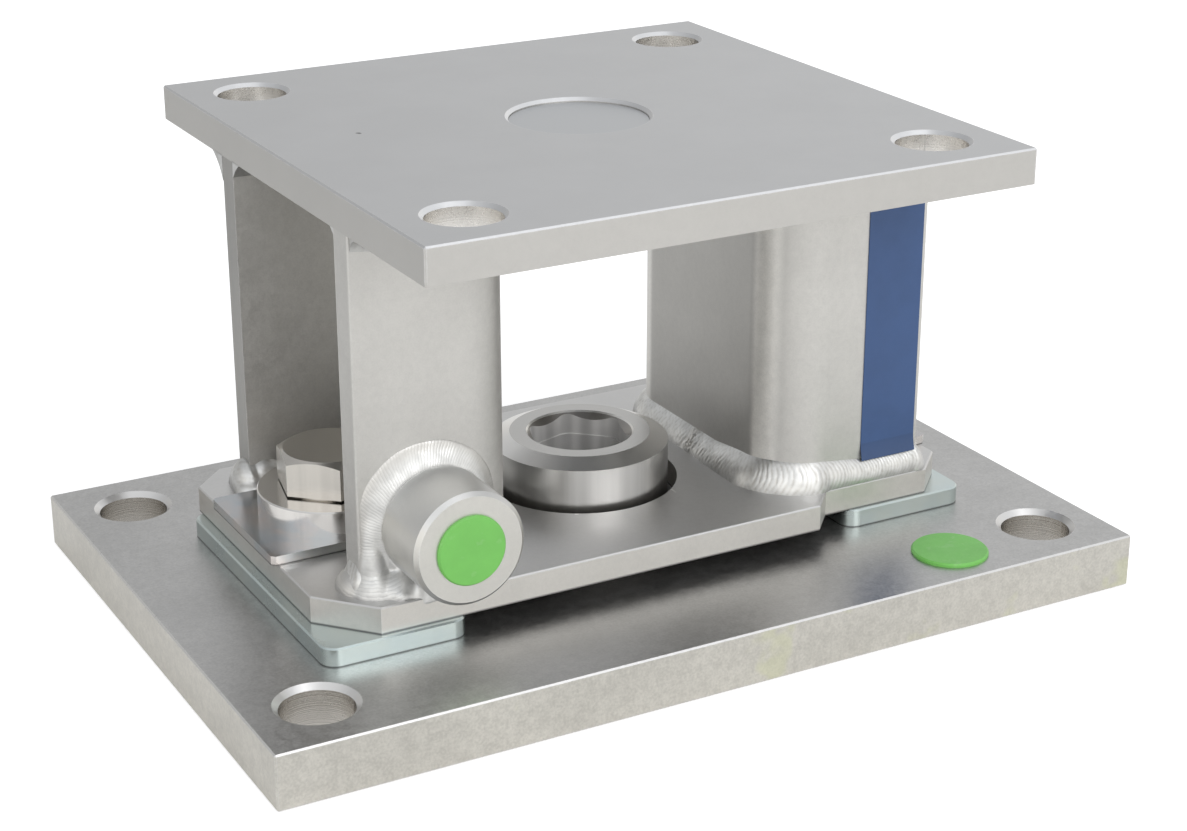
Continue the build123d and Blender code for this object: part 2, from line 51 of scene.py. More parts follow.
WHITE: Colour = (1.0, 1.0, 1.0, 1.0)

# Places on the yoke, in millimetres.
POST_HALF = 47.75
POST_WALL = 9.0
POST_END = 99.0
WEB_OUTER = 45.0
BEND_RADIUS = 18.0
FOOT_TOP = 32.0
TOP_BOTTOM = 141.0
BOSS_X = -75.0
BOSS_Z = 51.0
BOSS_RADIUS = 17.5


class Side(Enum):
    """Which end of the module a piece stands at, as a factor on x and y."""

    LEFT = -1
    RIGHT = 1


class WeldSide(Enum):
    """Which side of its path a bead lies on, as the turn from the path's direction."""

    OUTSIDE = 1
    INSIDE = -1


def clear_selection() -> None:
    """Leave edit mode and deselect every object, so that an operator reaches only the new one."""
    if bpy.context.object and bpy.context.object.mode != "OBJECT":
        bpy.ops.object.mode_set(mode="OBJECT")
    bpy.ops.object.select_all(action="DESELECT")


def work_on(piece: bpy.types.Object) -> None:
    """Make one object the only selected and the active one.

    Args:
        piece: The object that the next operators change.
    """
    clear_selection()
    piece.select_set(True)
    bpy.context.view_layer.objects.active = piece


def read_points(piece: bpy.types.Object) -> np.ndarray:
    """Read the places of an object's points.

    Args:
        piece: The object.

    Returns:
        The places in metres, one row each.
    """
    spots = np.empty(len(piece.data.vertices) * 3)
    piece.data.vertices.foreach_get("co", spots)
    return spots.reshape(-1, 3)


def write_points(piece: bpy.types.Object, spots: np.ndarray) -> None:
    """Move an object's points to the given places, one row each."""
    piece.data.vertices.foreach_set("co", spots.ravel())
    piece.data.update()


def grey(factor: float) -> Colour:
    """A grey that multiplies a colour."""
    return (factor, factor, factor, 1.0)


def add_grid(name: str, columns: int, rows: int) -> bpy.types.Object:
    """Add a flat grid that a mapping then bends into a bead or a strip.

    Args:
        name: Name of the new object.
        columns: Points across.
        rows: Points along.

    Returns:
        The grid, with x and y of its points running from 0 to 1.
    """
    clear_selection()
    bpy.ops.mesh.primitive_grid_add(x_subdivisions=columns - 1, y_subdivisions=rows - 1, size=1.0)
    grid = bpy.context.object
    grid.name = grid.data.name = name
    write_points(grid, read_points(grid) + np.array([0.5, 0.5, 0.0]))
    return grid


def grid_places(grid: bpy.types.Object, columns: int, rows: int) -> tuple[np.ndarray, np.ndarray]:
    """Read which column and row each point of a new grid belongs to.

    Args:
        grid: A grid made by add_grid.
        columns: Points across.
        rows: Points along.

    Returns:
        The column and the row of each point, as whole numbers.
    """
    spots = read_points(grid)
    across = np.rint(spots[:, 0] * (columns - 1)).astype(int)
    along = np.rint(spots[:, 1] * (rows - 1)).astype(int)
    return across, along


def close_and_smooth(piece: bpy.types.Object, sharp_angle: float) -> None:
    """Merge a mapped grid's seams, close its ends, turn its faces outwards and smooth it.

    Args:
        piece: The object whose mesh is finished.
        sharp_angle: Edges that turn by more than this stay sharp, in degrees.
    """
    work_on(piece)
    bpy.ops.object.mode_set(mode="EDIT")
    bpy.ops.mesh.select_all(action="SELECT")
    bpy.ops.mesh.remove_doubles(threshold=MERGE_DISTANCE)
    bpy.ops.mesh.select_all(action="SELECT")
    bpy.ops.mesh.fill_holes(sides=0)
    bpy.ops.mesh.select_all(action="SELECT")
    bpy.ops.mesh.normals_make_consistent(inside=False)
    bpy.ops.object.mode_set(mode="OBJECT")
    bpy.ops.object.shade_smooth_by_angle(angle=math.radians(sharp_angle))


def melt_together(
    pieces: list[bpy.types.Object], name: str, voxel: float, smoothing: int
) -> bpy.types.Object:
    """Join overlapping pieces into one soft lump.

    Args:
        pieces: The pieces.
        name: Name of the new object.
        voxel: Size of its smallest parts, in millimetres.
        smoothing: How many times it is smoothed.

    Returns:
        The lump.
    """
    work_on(pieces[0])
    for piece in pieces[1:]:
        piece.select_set(True)
    bpy.ops.object.join()
    lump = bpy.context.object
    lump.name = lump.data.name = name
    melt = lump.modifiers.new("melt", "REMESH")
    melt.mode, melt.voxel_size = "VOXEL", voxel * MM
    soften = lump.modifiers.new("soften", "SMOOTH")
    soften.factor, soften.iterations = 0.5, smoothing
    for modifier in (melt.name, soften.name):
        bpy.ops.object.modifier_apply(modifier=modifier)
    bpy.ops.object.shade_smooth_by_angle(angle=math.radians(70.0))
    return lump


class Waver:
    """A smooth random line that gives the same values in each run."""

    KNOTS = 4096
    START = 1024.0

    def __init__(self, seed: int, spacing: float) -> None:
        """Draw the knots of the line that the seed picks."""
        self.knots = np.random.default_rng(seed).uniform(-1.0, 1.0, self.KNOTS)
        self.spacing = spacing

    def at(self, place: np.ndarray) -> np.ndarray:
        """Read the line.

        Args:
            place: Distances along it.

        Returns:
            Values from -1 to 1.
        """
        spot = np.asarray(place) / self.spacing + self.START
        low = np.floor(spot).astype(int)
        share = spot - low
        share = share * share * (3.0 - 2.0 * share)
        return self.knots[low % self.KNOTS] * (1.0 - share) + self.knots[(low + 1) % self.KNOTS] * share


class Crinkle:
    """A fine uneven relief without a direction, the same in each run."""

    WAVES = 14
    SHORTEST = 0.55
    LONGEST = 1.6
    LEVEL = 0.25

    def __init__(self, seed: int, wave: float) -> None:
        """Draw the waves that add up to it.

        Args:
            seed: Picks the relief.
            wave: Middle length of its waves.
        """
        draw = np.random.default_rng(seed)
        self.ways = draw.uniform(0.0, math.tau, self.WAVES)
        self.waves = wave * draw.uniform(self.SHORTEST, self.LONGEST, self.WAVES)
        self.starts = draw.uniform(0.0, math.tau, self.WAVES)

    def at(self, first: np.ndarray, second: np.ndarray) -> np.ndarray:
        """Read the relief.

        Args:
            first: Distances along.
            second: Distances across.

        Returns:
            Values of about -1 to 1.
        """
        total = np.zeros(np.shape(first))
        for way, wave, start in zip(self.ways, self.waves, self.starts):
            total += np.sin((first * math.cos(way) + second * math.sin(way)) * math.tau / wave + start)
        return total * self.LEVEL


class NodeGraph:
    """Adds shader nodes to a tree and joins them."""

    SPREAD_INPUTS = ("Value", "From Min", "From Max", "To Min", "To Max")

    def __init__(self, tree: bpy.types.NodeTree) -> None:
        """Take the tree that the nodes go into."""
        self.tree = tree

    def add(self, kind: str, **settings: object) -> bpy.types.Node:
        """Add a node.

        Args:
            kind: The node's type name without its ShaderNode prefix.
            settings: Properties of the node.

        Returns:
            The new node.
        """
        name = kind if kind.startswith("NodeGroup") else "ShaderNode" + kind
        node = self.tree.nodes.new(name)
        for key, value in settings.items():
            setattr(node, key, value)
        return node

    def feed(self, socket: bpy.types.NodeSocket, value: object) -> None:
        """Link a socket into an input, or set the input to a plain value.

        Args:
            socket: The input.
            value: An output socket, a number, a vector or a colour.
        """
        if isinstance(value, bpy.types.NodeSocket):
            self.tree.links.new(value, socket)
        else:
            socket.default_value = value

    def math(self, operation: str, first: object, second: object = 0.0, clamp: bool = False) -> object:
        """Combine two values.

        Args:
            operation: The Math node's operation.
            first: First value or socket.
            second: Second value or socket.
            clamp: Keep the result from 0 to 1.

        Returns:
            The result's socket.
        """
        node = self.add("Math", operation=operation, use_clamp=clamp)
        self.feed(node.inputs[0], first)
        self.feed(node.inputs[1], second)
        return node.outputs[0]

    def plus(self, first: object, second: object) -> object:
        """Add two values."""
        return self.math("ADD", first, second)

    def minus(self, first: object, second: object) -> object:
        """Take the second value from the first."""
        return self.math("SUBTRACT", first, second)

    def times(self, first: object, *others: object) -> object:
        """Multiply values.

        Args:
            first: First value or socket.
            others: The values or sockets that it is multiplied by.

        Returns:
            The result's socket.
        """
        for other in others:
            first = self.math("MULTIPLY", first, other)
        return first

    def size(self, value: object) -> object:
        """A value without its sign."""
        return self.math("ABSOLUTE", value)

    def below(self, value: object, limit: object) -> object:
        """One where a value is under a limit, and nothing elsewhere."""
        return self.math("LESS_THAN", value, limit)

    def above(self, value: object, limit: object) -> object:
        """One where a value is over a limit, and nothing elsewhere."""
        return self.math("GREATER_THAN", value, limit)

    def spread(
        self, value: object, low: object, high: object, to_low: float = 0.0, to_high: float = 1.0
    ) -> object:
        """Stretch a range of a value smoothly over another range.

        Args:
            value: The socket that is read.
            low: Value or socket that becomes to_low.
            high: Value or socket that becomes to_high.
            to_low: Result at low and below.
            to_high: Result at high and above.

        Returns:
            The result's socket.
        """
        node = self.add("MapRange", interpolation_type="SMOOTHSTEP")
        for key, part in zip(self.SPREAD_INPUTS, (value, low, high, to_low, to_high)):
            self.feed(node.inputs[key], part)
        return node.outputs["Result"]

    def noise(self, vector: object, scale: object, detail: float = 3.0, rough: float = 0.55) -> object:
        """Add a cloud-like pattern.

        Args:
            vector: Where it is read.
            scale: Its scale, as a number or a socket.
            detail: How many finer layers it has.
            rough: How strong the finer layers are.

        Returns:
            The pattern's value socket.
        """
        node = self.add("TexNoise")
        self.feed(node.inputs["Vector"], vector)
        self.feed(node.inputs["Scale"], scale)
        node.inputs["Detail"].default_value = detail
        node.inputs["Roughness"].default_value = rough
        return node.outputs["Fac"]

    def blend(self, share: object, first: object, second: object, kind: str = "MIX") -> object:
        """Mix two colours.

        Args:
            share: How much of the second shows.
            first: First colour or socket.
            second: Second colour or socket.
            kind: The blend type.

        Returns:
            The mixed colour's socket.
        """
        node = self.add("Mix", data_type="RGBA", blend_type=kind)
        self.feed(node.inputs["Factor"], share)
        self.feed(node.inputs["A"], first)
        self.feed(node.inputs["B"], second)
        return node.outputs["Result"]

    def tinted(self, share: object, colour: object, tint: object) -> object:
        """Multiply a colour by a tint, as far as the share says."""
        return self.blend(share, colour, self.blend(1.0, colour, tint, "MULTIPLY"))

    def facing(self) -> tuple[object, object, object]:
        """The x, y and z of the direction that the surface faces."""
        return self.parts(self.add("NewGeometry").outputs["Normal"])

    def parts(self, vector: object) -> tuple[object, object, object]:
        """Split a vector.

        Args:
            vector: The vector's socket.

        Returns:
            Its x, y and z sockets.
        """
        node = self.add("SeparateXYZ")
        self.feed(node.inputs[0], vector)
        return node.outputs[0], node.outputs[1], node.outputs[2]

    def vector(self, x: object, y: object, z: object) -> object:
        """Join three values into a vector.

        Args:
            x: First part.
            y: Second part.
            z: Third part.

        Returns:
            The vector's socket.
        """
        node = self.add("CombineXYZ")
        for socket, value in zip(node.inputs, (x, y, z)):
            self.feed(socket, value)
        return node.outputs[0]

    def distance(self, x: object, y: object) -> object:
        """Distance of a point in a plane from the middle."""
        return self.math("SQRT", self.plus(self.times(x, x), self.times(y, y)))


class Effect:
    """A shader node group for one surface effect, built once and placed in many materials."""

    def __init__(self, name: str, inputs: dict[str, tuple[str, object]], outputs: dict[str, str]) -> None:
        """Make the group and its sockets.

        Args:
            name: The group's name.
            inputs: Socket kind and starting value by input name.
            outputs: Socket kind by output name.
        """
        self.tree = bpy.data.node_groups.new(name, "ShaderNodeTree")
        for label, (kind, value) in inputs.items():
            socket = self.tree.interface.new_socket(label, in_out="INPUT", socket_type="NodeSocket" + kind)
            if value is not None:
                socket.default_value = value
        for label, kind in outputs.items():
            self.tree.interface.new_socket(label, in_out="OUTPUT", socket_type="NodeSocket" + kind)
        self.graph = NodeGraph(self.tree)
        self.source = self.graph.add("NodeGroupInput").outputs
        self.sink = self.graph.add("NodeGroupOutput").inputs
        self.build()

    def build(self) -> None:
        """Add the effect's nodes. Each effect has its own."""
        raise NotImplementedError

    def put(self, graph: NodeGraph, **values: object) -> dict[str, object]:
        """Place the effect in a material.

        Args:
            graph: The material's graph.
            values: Values or sockets by input name, with _ for a space.

        Returns:
            The effect's output sockets by name.
        """
        node = graph.add("Group", node_tree=self.tree)
        for key, value in values.items():
            graph.feed(node.inputs[key.replace("_", " ")], value)
        return {socket.name: socket for socket in node.outputs}


class MetalGrain(Effect):
    """Fine grain and soft cloudy patches of blasted or rolled steel."""

    def __init__(self) -> None:
        """Name the effect and its sockets."""
        inputs = {
            "Vector": ("Vector", None),
            "Grain Scale": ("Float", 1800.0),
            "Patch Scale": ("Float", 35.0),
        }
        super().__init__("metal_grain", inputs, {"Grain": "Float", "Patches": "Float", "Height": "Float"})

    def build(self) -> None:
        """Mix a fine and a middle grain, and read the patches apart."""
        graph = self.graph
        fine = graph.noise(self.source["Vector"], self.source["Grain Scale"], 2.0, 0.6)
        middle_scale = graph.times(self.source["Grain Scale"], 0.31)
        middle = graph.noise(self.source["Vector"], middle_scale, 2.0, 0.5)
        grain = graph.plus(graph.times(fine, 0.6), graph.times(middle, 0.4))
        patches = graph.noise(self.source["Vector"], self.source["Patch Scale"], 4.0, 0.6)
        graph.feed(self.sink["Grain"], graph.spread(grain, 0.3, 0.7))
        graph.feed(self.sink["Patches"], graph.spread(patches, 0.3, 0.7))
        graph.feed(self.sink["Height"], grain)


class EdgeWearHighlight(Effect):
    """Rubbed edges, made brighter also as a painted edge highlight."""

    def __init__(self) -> None:
        """Name the effect and its sockets."""
        inputs = {"Vector": ("Vector", None), "Low": ("Float", 0.02), "High": ("Float", 0.2)}
        super().__init__("edge_wear_highlight", inputs, {"Wear": "Float"})

    def build(self) -> None:
        """Compare the rounded normal with the face's own, and break the line up."""
        graph = self.graph
        bevel = graph.add("Bevel", samples=4)
        bevel.inputs["Radius"].default_value = 0.7 * MM
        geometry = graph.add("NewGeometry")
        product = graph.add("VectorMath", operation="DOT_PRODUCT")
        graph.feed(product.inputs[0], bevel.outputs[0])
        graph.feed(product.inputs[1], geometry.outputs["Normal"])
        bent = graph.minus(1.0, product.outputs["Value"])
        ragged = graph.noise(self.source["Vector"], 420.0, 3.0, 0.6)
        bent = graph.times(bent, graph.spread(ragged, 0.35, 0.65, 0.5, 1.5))
        graph.feed(self.sink["Wear"], graph.spread(bent, self.source["Low"], self.source["High"]))


class TurningLines(Effect):
    """Fine rings that a lathe tool leaves about an axis along z."""

    def __init__(self) -> None:
        """Name the effect and its sockets."""
        inputs = {"Vector": ("Vector", None), "Pitch": ("Float", 0.25 * MM)}
        super().__init__("turning_lines", inputs, {"Lines": "Float", "Faint": "Float"})

    def build(self) -> None:
        """Read two one-dimensional patterns against the distance from the axis and the level."""
        graph = self.graph
        x, y, z = graph.parts(self.source["Vector"])
        place = graph.plus(graph.distance(x, y), graph.times(z, 0.93))
        step = graph.math("DIVIDE", place, self.source["Pitch"])
        rings = graph.noise(graph.vector(step, 0.0, 0.0), 1.0, 2.0, 0.7)
        bands = graph.noise(graph.vector(graph.times(step, 0.13), 3.0, 0.0), 1.0, 2.0, 0.6)
        graph.feed(self.sink["Lines"], graph.spread(rings, 0.25, 0.75))
        graph.feed(self.sink["Faint"], graph.spread(bands, 0.3, 0.7))


class Drilled(Effect):
    """Bright walls of four drilled holes in a rectangle, with fine level lines."""

    def __init__(self) -> None:
        """Name the effect and its sockets."""
        inputs = {
            "Vector": ("Vector", None),
            "Half X": ("Float", 0.1),
            "Half Y": ("Float", 0.1),
            "Radius": ("Float", 11.0 * MM),
        }
        super().__init__("drilled_walls", inputs, {"Wall": "Float", "Lines": "Float"})

    def build(self) -> None:
        """Measure the distance from the nearest hole's axis by folding the plate into one quarter."""
        graph = self.graph
        x, y, z = graph.parts(self.source["Vector"])
        from_x = graph.minus(graph.size(x), self.source["Half X"])
        from_y = graph.minus(graph.size(y), self.source["Half Y"])
        away = graph.minus(graph.distance(from_x, from_y), self.source["Radius"])
        lines = graph.noise(graph.vector(0.0, 0.0, graph.times(z, 2600.0)), 1.0, 2.0, 0.6)
        graph.feed(self.sink["Wall"], graph.spread(away, 0.03 * MM, 0.09 * MM, 1.0, 0.0))
        graph.feed(self.sink["Lines"], graph.spread(lines, 0.3, 0.7))


class Smudges(Effect):
    """Sparse spots of handling dirt or marker."""

    def __init__(self) -> None:
        """Name the effect and its sockets."""
        inputs = {"Vector": ("Vector", None), "Scale": ("Float", 60.0), "Limit": ("Float", 0.62)}
        super().__init__("smudges", inputs, {"Spots": "Float"})

    def build(self) -> None:
        """Keep only the peaks of a cloudy pattern."""
        graph = self.graph
        cloud = graph.noise(self.source["Vector"], self.source["Scale"], 3.0, 0.6)
        over = graph.minus(cloud, self.source["Limit"])
        graph.feed(self.sink["Spots"], graph.spread(over, 0.0, 0.08))


class BossRipples(Effect):
    """Ripples of a weld that runs round the boss, and arcs where it reaches the foot plate."""

    TONGUE = (-93.5 * MM, -47.0 * MM, 46.0 * MM)
    SPOKES_FROM = (40.0 * MM, 46.0 * MM)
    ARCS_UP_TO = (38.0 * MM, 43.0 * MM)
    ARCS_RIGHT_TO = (-90.0 * MM, -87.0 * MM)
    PLAIN_HEIGHT = 0.6

    def __init__(self) -> None:
        """Name the effect and its sockets."""
        inputs = {
            "Vector": ("Vector", None),
            "Spoke Pitch": ("Float", 0.95 * MM),
            "Arc Pitch": ("Float", 1.2 * MM),
        }
        super().__init__("boss_ripples", inputs, {"Height": "Float"})

    def build(self) -> None:
        """Count the spokes by the angle about the boss, and the arcs by the distance from the tongue."""
        graph = self.graph
        x, y, z = graph.parts(self.source["Vector"])
        warp = graph.times(graph.noise(self.source["Vector"], 330.0, 2.0, 0.5), 1.1 * MM)
        right = graph.plus(x, -BOSS_X * MM)
        up = graph.minus(z, BOSS_Z * MM)
        turned = graph.times(graph.math("ARCTAN2", up, right), 21.0 * MM)
        along = graph.plus(turned, graph.times(graph.distance(right, up), 0.35))
        spokes = self.arches(graph.plus(along, warp), self.source["Spoke Pitch"])
        left = graph.plus(x, -self.TONGUE[0])
        drop = graph.minus(z, self.TONGUE[2])
        out = graph.plus(y, -self.TONGUE[1])
        far = graph.distance(graph.distance(left, drop), out)
        arcs = self.arches(graph.plus(far, warp), self.source["Arc Pitch"])
        low = graph.spread(z, *self.ARCS_UP_TO, 1.0, 0.0)
        foot = graph.times(low, graph.spread(x, *self.ARCS_RIGHT_TO, 1.0, 0.0))
        high = graph.spread(z, *self.SPOKES_FROM)
        height = graph.plus(graph.times(spokes, high), graph.times(arcs, foot))
        rest = graph.math("SUBTRACT", 1.0, graph.math("MAXIMUM", high, foot), clamp=True)
        graph.feed(self.sink["Height"], graph.plus(height, graph.times(rest, self.PLAIN_HEIGHT)))

    def arches(self, place: object, pitch: object) -> object:
        """A row of low arches with sharp valleys between them.

        Args:
            place: Distance along the row.
            pitch: Width of an arch.

        Returns:
            The height's socket, from 0 to 1.
        """
        graph = self.graph
        share = graph.math("FRACT", graph.math("DIVIDE", place, pitch))
        slope = graph.minus(graph.times(share, 2.0), 1.0)
        return graph.minus(1.0, graph.times(slope, slope))


class Effects:
    """The surface effects that the finishes share."""

    def __init__(self) -> None:
        """Build each effect once."""
        self.grain = MetalGrain()
        self.wear = EdgeWearHighlight()
        self.turning = TurningLines()
        self.drilled = Drilled()
        self.smudges = Smudges()
        self.ripples = BossRipples()


@dataclass(frozen=True)
class Finish:
    """A finish: its name and the values that every material starts from."""

    name: str
    colour: Colour
    roughness: float
    metallic: float = 1.0
    # Level of the lowest edge that gets a painted contact shadow; -1 keeps it out of reach.
    contact_shadow_level: float = -1.0

    def start(self) -> tuple[bpy.types.Material, NodeGraph, bpy.types.Node, object]:
        """Make the material with its shader.

        Returns:
            The material, its graph, its Principled node and the object coordinates' socket.
        """
        material = bpy.data.materials.new(self.name)
        material.use_nodes = True
        graph = NodeGraph(material.node_tree)
        shader = material.node_tree.nodes["Principled BSDF"]
        shader.inputs["Base Color"].default_value = self.colour
        shader.inputs["Roughness"].default_value = self.roughness
        shader.inputs["Metallic"].default_value = self.metallic
        place = graph.add("TexCoord").outputs["Object"]
        return material, graph, shader, place

    def tone(self, factor: float) -> Colour:
        """The finish's colour, lighter or darker."""
        return (self.colour[0] * factor, self.colour[1] * factor, self.colour[2] * factor, 1.0)

    def contact_shadowed(self, graph: NodeGraph, place: object, colour: object) -> object:
        """Paint a contact shadow on the lowest edge of a piece, where it lies on another.

        Args:
            graph: The material's graph.
            place: The object coordinates' socket.
            colour: The colour so far.

        Returns:
            The colour with the painted contact shadow.
        """
        level = graph.parts(place)[2]
        low = graph.spread(level, self.contact_shadow_level + 0.1 * MM, self.contact_shadow_level + 0.65 * MM, 0.8, 0.0)
        upright = graph.size(graph.facing()[2])
        low = graph.times(low, graph.spread(upright, 0.3, 0.7, 1.0, 0.0))
        return graph.blend(low, colour, (0.06, 0.06, 0.06, 1.0))

    def bump(
        self, graph: NodeGraph, shader: bpy.types.Node, height: object, strength: float, depth: float
    ) -> None:
        """Give the shader a fine relief.

        Args:
            graph: The material's graph.
            shader: Its Principled node.
            height: The relief's height socket.
            strength: How strongly it shows.
            depth: Its depth in metres.
        """
        node = graph.add("Bump")
        node.inputs["Strength"].default_value = strength
        node.inputs["Distance"].default_value = depth
        graph.feed(node.inputs["Height"], height)
        graph.feed(shader.inputs["Normal"], node.outputs["Normal"])

    def material(self, effects: Effects) -> bpy.types.Material:
        """Build the material. Each finish has its own."""
        raise NotImplementedError


@dataclass(frozen=True)
class PlateSteel(Finish):
    """Stainless plate, blasted or as rolled, with drilled holes, rubbed edges that also carry a painted
    highlight, and painted light and shade on its upright faces, bevels, posts and lowest edge.
    """

    grain_scale: float = 1800.0
    patch_scale: float = 35.0
    grain_tone: float = 0.06
    patch_tone: float = 0.05
    grain_depth: float = 0.02 * MM
    # Painted light on the upright faces, given as a tint.
    side_light_tint: Colour = (0.94, 0.925, 0.89, 1.0)
    smudge: Colour = (0.45, 0.42, 0.34, 1.0)
    smudge_limit: float = 0.7
    holes: tuple[float, float] = (9.0, 9.0)
    hole_dark: Colour = (0.64, 0.62, 0.59, 1.0)
    hole_bright: Colour = (0.85, 0.83, 0.8, 1.0)
    line_height: float = 1.5
    wear_highlight_tone: float = 1.3
    wear_highlight_from: float = -1.0
    wear_highlight_to: float = 1.0
    marks: tuple[Point, ...] = ()
    mark_tone: float = 0.3
    # Painted highlight on sloped edges; the edges that face left may have their own.
    bevel_light_tone: float = 1.0
    left_bevel_light_tone: float | None = None
    # Tones of painted light and shade on a post: its right bend, its far flange's end and its channel.
    bend_highlight_tone: float = 1.0
    bend_from: float = 40.0 * MM
    bend_x: tuple[float, float] = (47.5 * MM, 50.0 * MM)
    bend_y: tuple[float, float] = (30.5 * MM, 33.5 * MM)
    far_end_shade_tone: float = 1.0
    far_end: float = -98.0 * MM
    channel_light_tone: float = 1.0
    channel_half: float = 38.9 * MM
    channel_back: float = 53.9 * MM

    def material(self, effects: Effects) -> bpy.types.Material:
        """Build the plate's material.

        Args:
            effects: The shared effects.

        Returns:
            The material.
        """
        material, graph, shader, place = self.start()
        grain = effects.grain.put(
            graph, Vector=place, Grain_Scale=self.grain_scale, Patch_Scale=self.patch_scale
        )
        dark, bright = self.tone(1.0 - self.patch_tone), self.tone(1.0 + self.patch_tone)
        tone = graph.blend(grain["Patches"], dark, bright)
        grained = graph.blend(grain["Grain"], grey(1.0 - self.grain_tone), grey(1.0 + self.grain_tone))
        colour = graph.blend(1.0, tone, grained, "MULTIPLY")
        # Upright faces get painted light: a tint that makes them warmer and lighter or darker as light
        # falls on them.
        upright = graph.size(graph.facing()[2])
        side = graph.spread(upright, 0.3, 0.7, 1.0, 0.0)
        colour = graph.tinted(side, colour, self.side_light_tint)
        spots = effects.smudges.put(graph, Vector=place, Scale=38.0, Limit=self.smudge_limit)["Spots"]
        colour = graph.blend(graph.times(spots, side, 0.35), colour, self.smudge)
        hole = effects.drilled.put(graph, Vector=place, Half_X=self.holes[0], Half_Y=self.holes[1])
        wall = graph.times(hole["Wall"], side)
        colour = graph.blend(wall, colour, graph.blend(hole["Lines"], self.hole_dark, self.hole_bright))
        level = graph.parts(place)[2]
        # Rubbed edges, lighter also as a painted edge highlight, only between the two levels.
        wear = effects.wear.put(graph, Vector=place)["Wear"]
        wear = graph.times(wear, graph.spread(level, self.wear_highlight_from - MM, self.wear_highlight_from))
        wear = graph.times(wear, graph.spread(level, self.wear_highlight_to, self.wear_highlight_to + MM, 1.0, 0.0))
        colour = graph.blend(wear, colour, self.tone(self.wear_highlight_tone))
        colour = self.bevel_lit(graph, upright, self.marked(graph, place, colour))
        colour = self.post_lit(graph, place, side, colour)
        graph.feed(shader.inputs["Base Color"], self.contact_shadowed(graph, place, colour))
        rough = graph.spread(grain["Grain"], 0.0, 1.0, self.roughness - 0.05, self.roughness + 0.05)
        rough = graph.minus(rough, graph.times(wear, 0.12))
        graph.feed(shader.inputs["Roughness"], graph.minus(rough, graph.times(wall, 0.14)))
        line_height = graph.times(hole["Lines"], wall, self.line_height)
        grain_height = graph.times(grain["Height"], graph.minus(1.0, graph.times(wall, 0.7)))
        self.bump(graph, shader, graph.plus(grain_height, line_height), 0.6, self.grain_depth)
        return material

    def marked(self, graph: NodeGraph, place: object, colour: object) -> object:
        """Add the plate's small round marks.

        Args:
            graph: The material's graph.
            place: The object coordinates' socket.
            colour: The colour so far.

        Returns:
            The colour with the marks.
        """
        x, y, _ = graph.parts(place)
        for mark_x, mark_y, radius in self.marks:
            away = graph.distance(graph.minus(x, mark_x * MM), graph.minus(y, mark_y * MM))
            share = graph.spread(away, 0.5 * radius * MM, radius * MM, 0.8, 0.0)
            colour = graph.blend(share, colour, self.tone(self.mark_tone))
        return colour

    def bevel_lit(self, graph: NodeGraph, upright: object, colour: object) -> object:
        """Paint the sloped edges lighter as a painted highlight, with its own tone on the edges that face
        left.

        Args:
            graph: The material's graph.
            upright: How far the surface faces up or down.
            colour: The colour so far.

        Returns:
            The colour with the edges.
        """
        bevel = graph.times(graph.spread(upright, 0.3, 0.5), graph.spread(upright, 0.85, 0.95, 1.0, 0.0))
        to_left = graph.spread(graph.facing()[0], -0.5, -0.3, 1.0, 0.0)
        left_tone = self.tone(self.left_bevel_light_tone or self.bevel_light_tone)
        return graph.blend(bevel, colour, graph.blend(to_left, self.tone(self.bevel_light_tone), left_tone))

    def post_lit(self, graph: NodeGraph, place: object, side: object, colour: object) -> object:
        """Paint the light and shade that a post shows: a painted highlight at its right bend, painted
        shade on its far flange's end and painted light in its channel.

        Args:
            graph: The material's graph.
            place: The object coordinates' socket.
            side: How far the surface is upright.
            colour: The colour so far.

        Returns:
            The colour with these tones.
        """
        x, y, _ = graph.parts(place)
        bend = graph.times(
            graph.spread(x, *self.bend_x, 1.0, 0.0),
            graph.spread(graph.size(y), *self.bend_y),
            graph.above(x, self.bend_from),
        )
        colour = graph.tinted(bend, colour, grey(self.bend_highlight_tone))
        far_end = graph.times(
            graph.above(y, self.channel_half),
            graph.below(x, self.far_end),
            graph.below(graph.facing()[0], -0.7),
        )
        colour = graph.tinted(far_end, colour, grey(self.far_end_shade_tone))
        channel = graph.times(
            graph.below(graph.size(y), self.channel_half),
            graph.above(graph.size(x), self.channel_back),
            side,
        )
        return graph.tinted(channel, colour, grey(self.channel_light_tone))


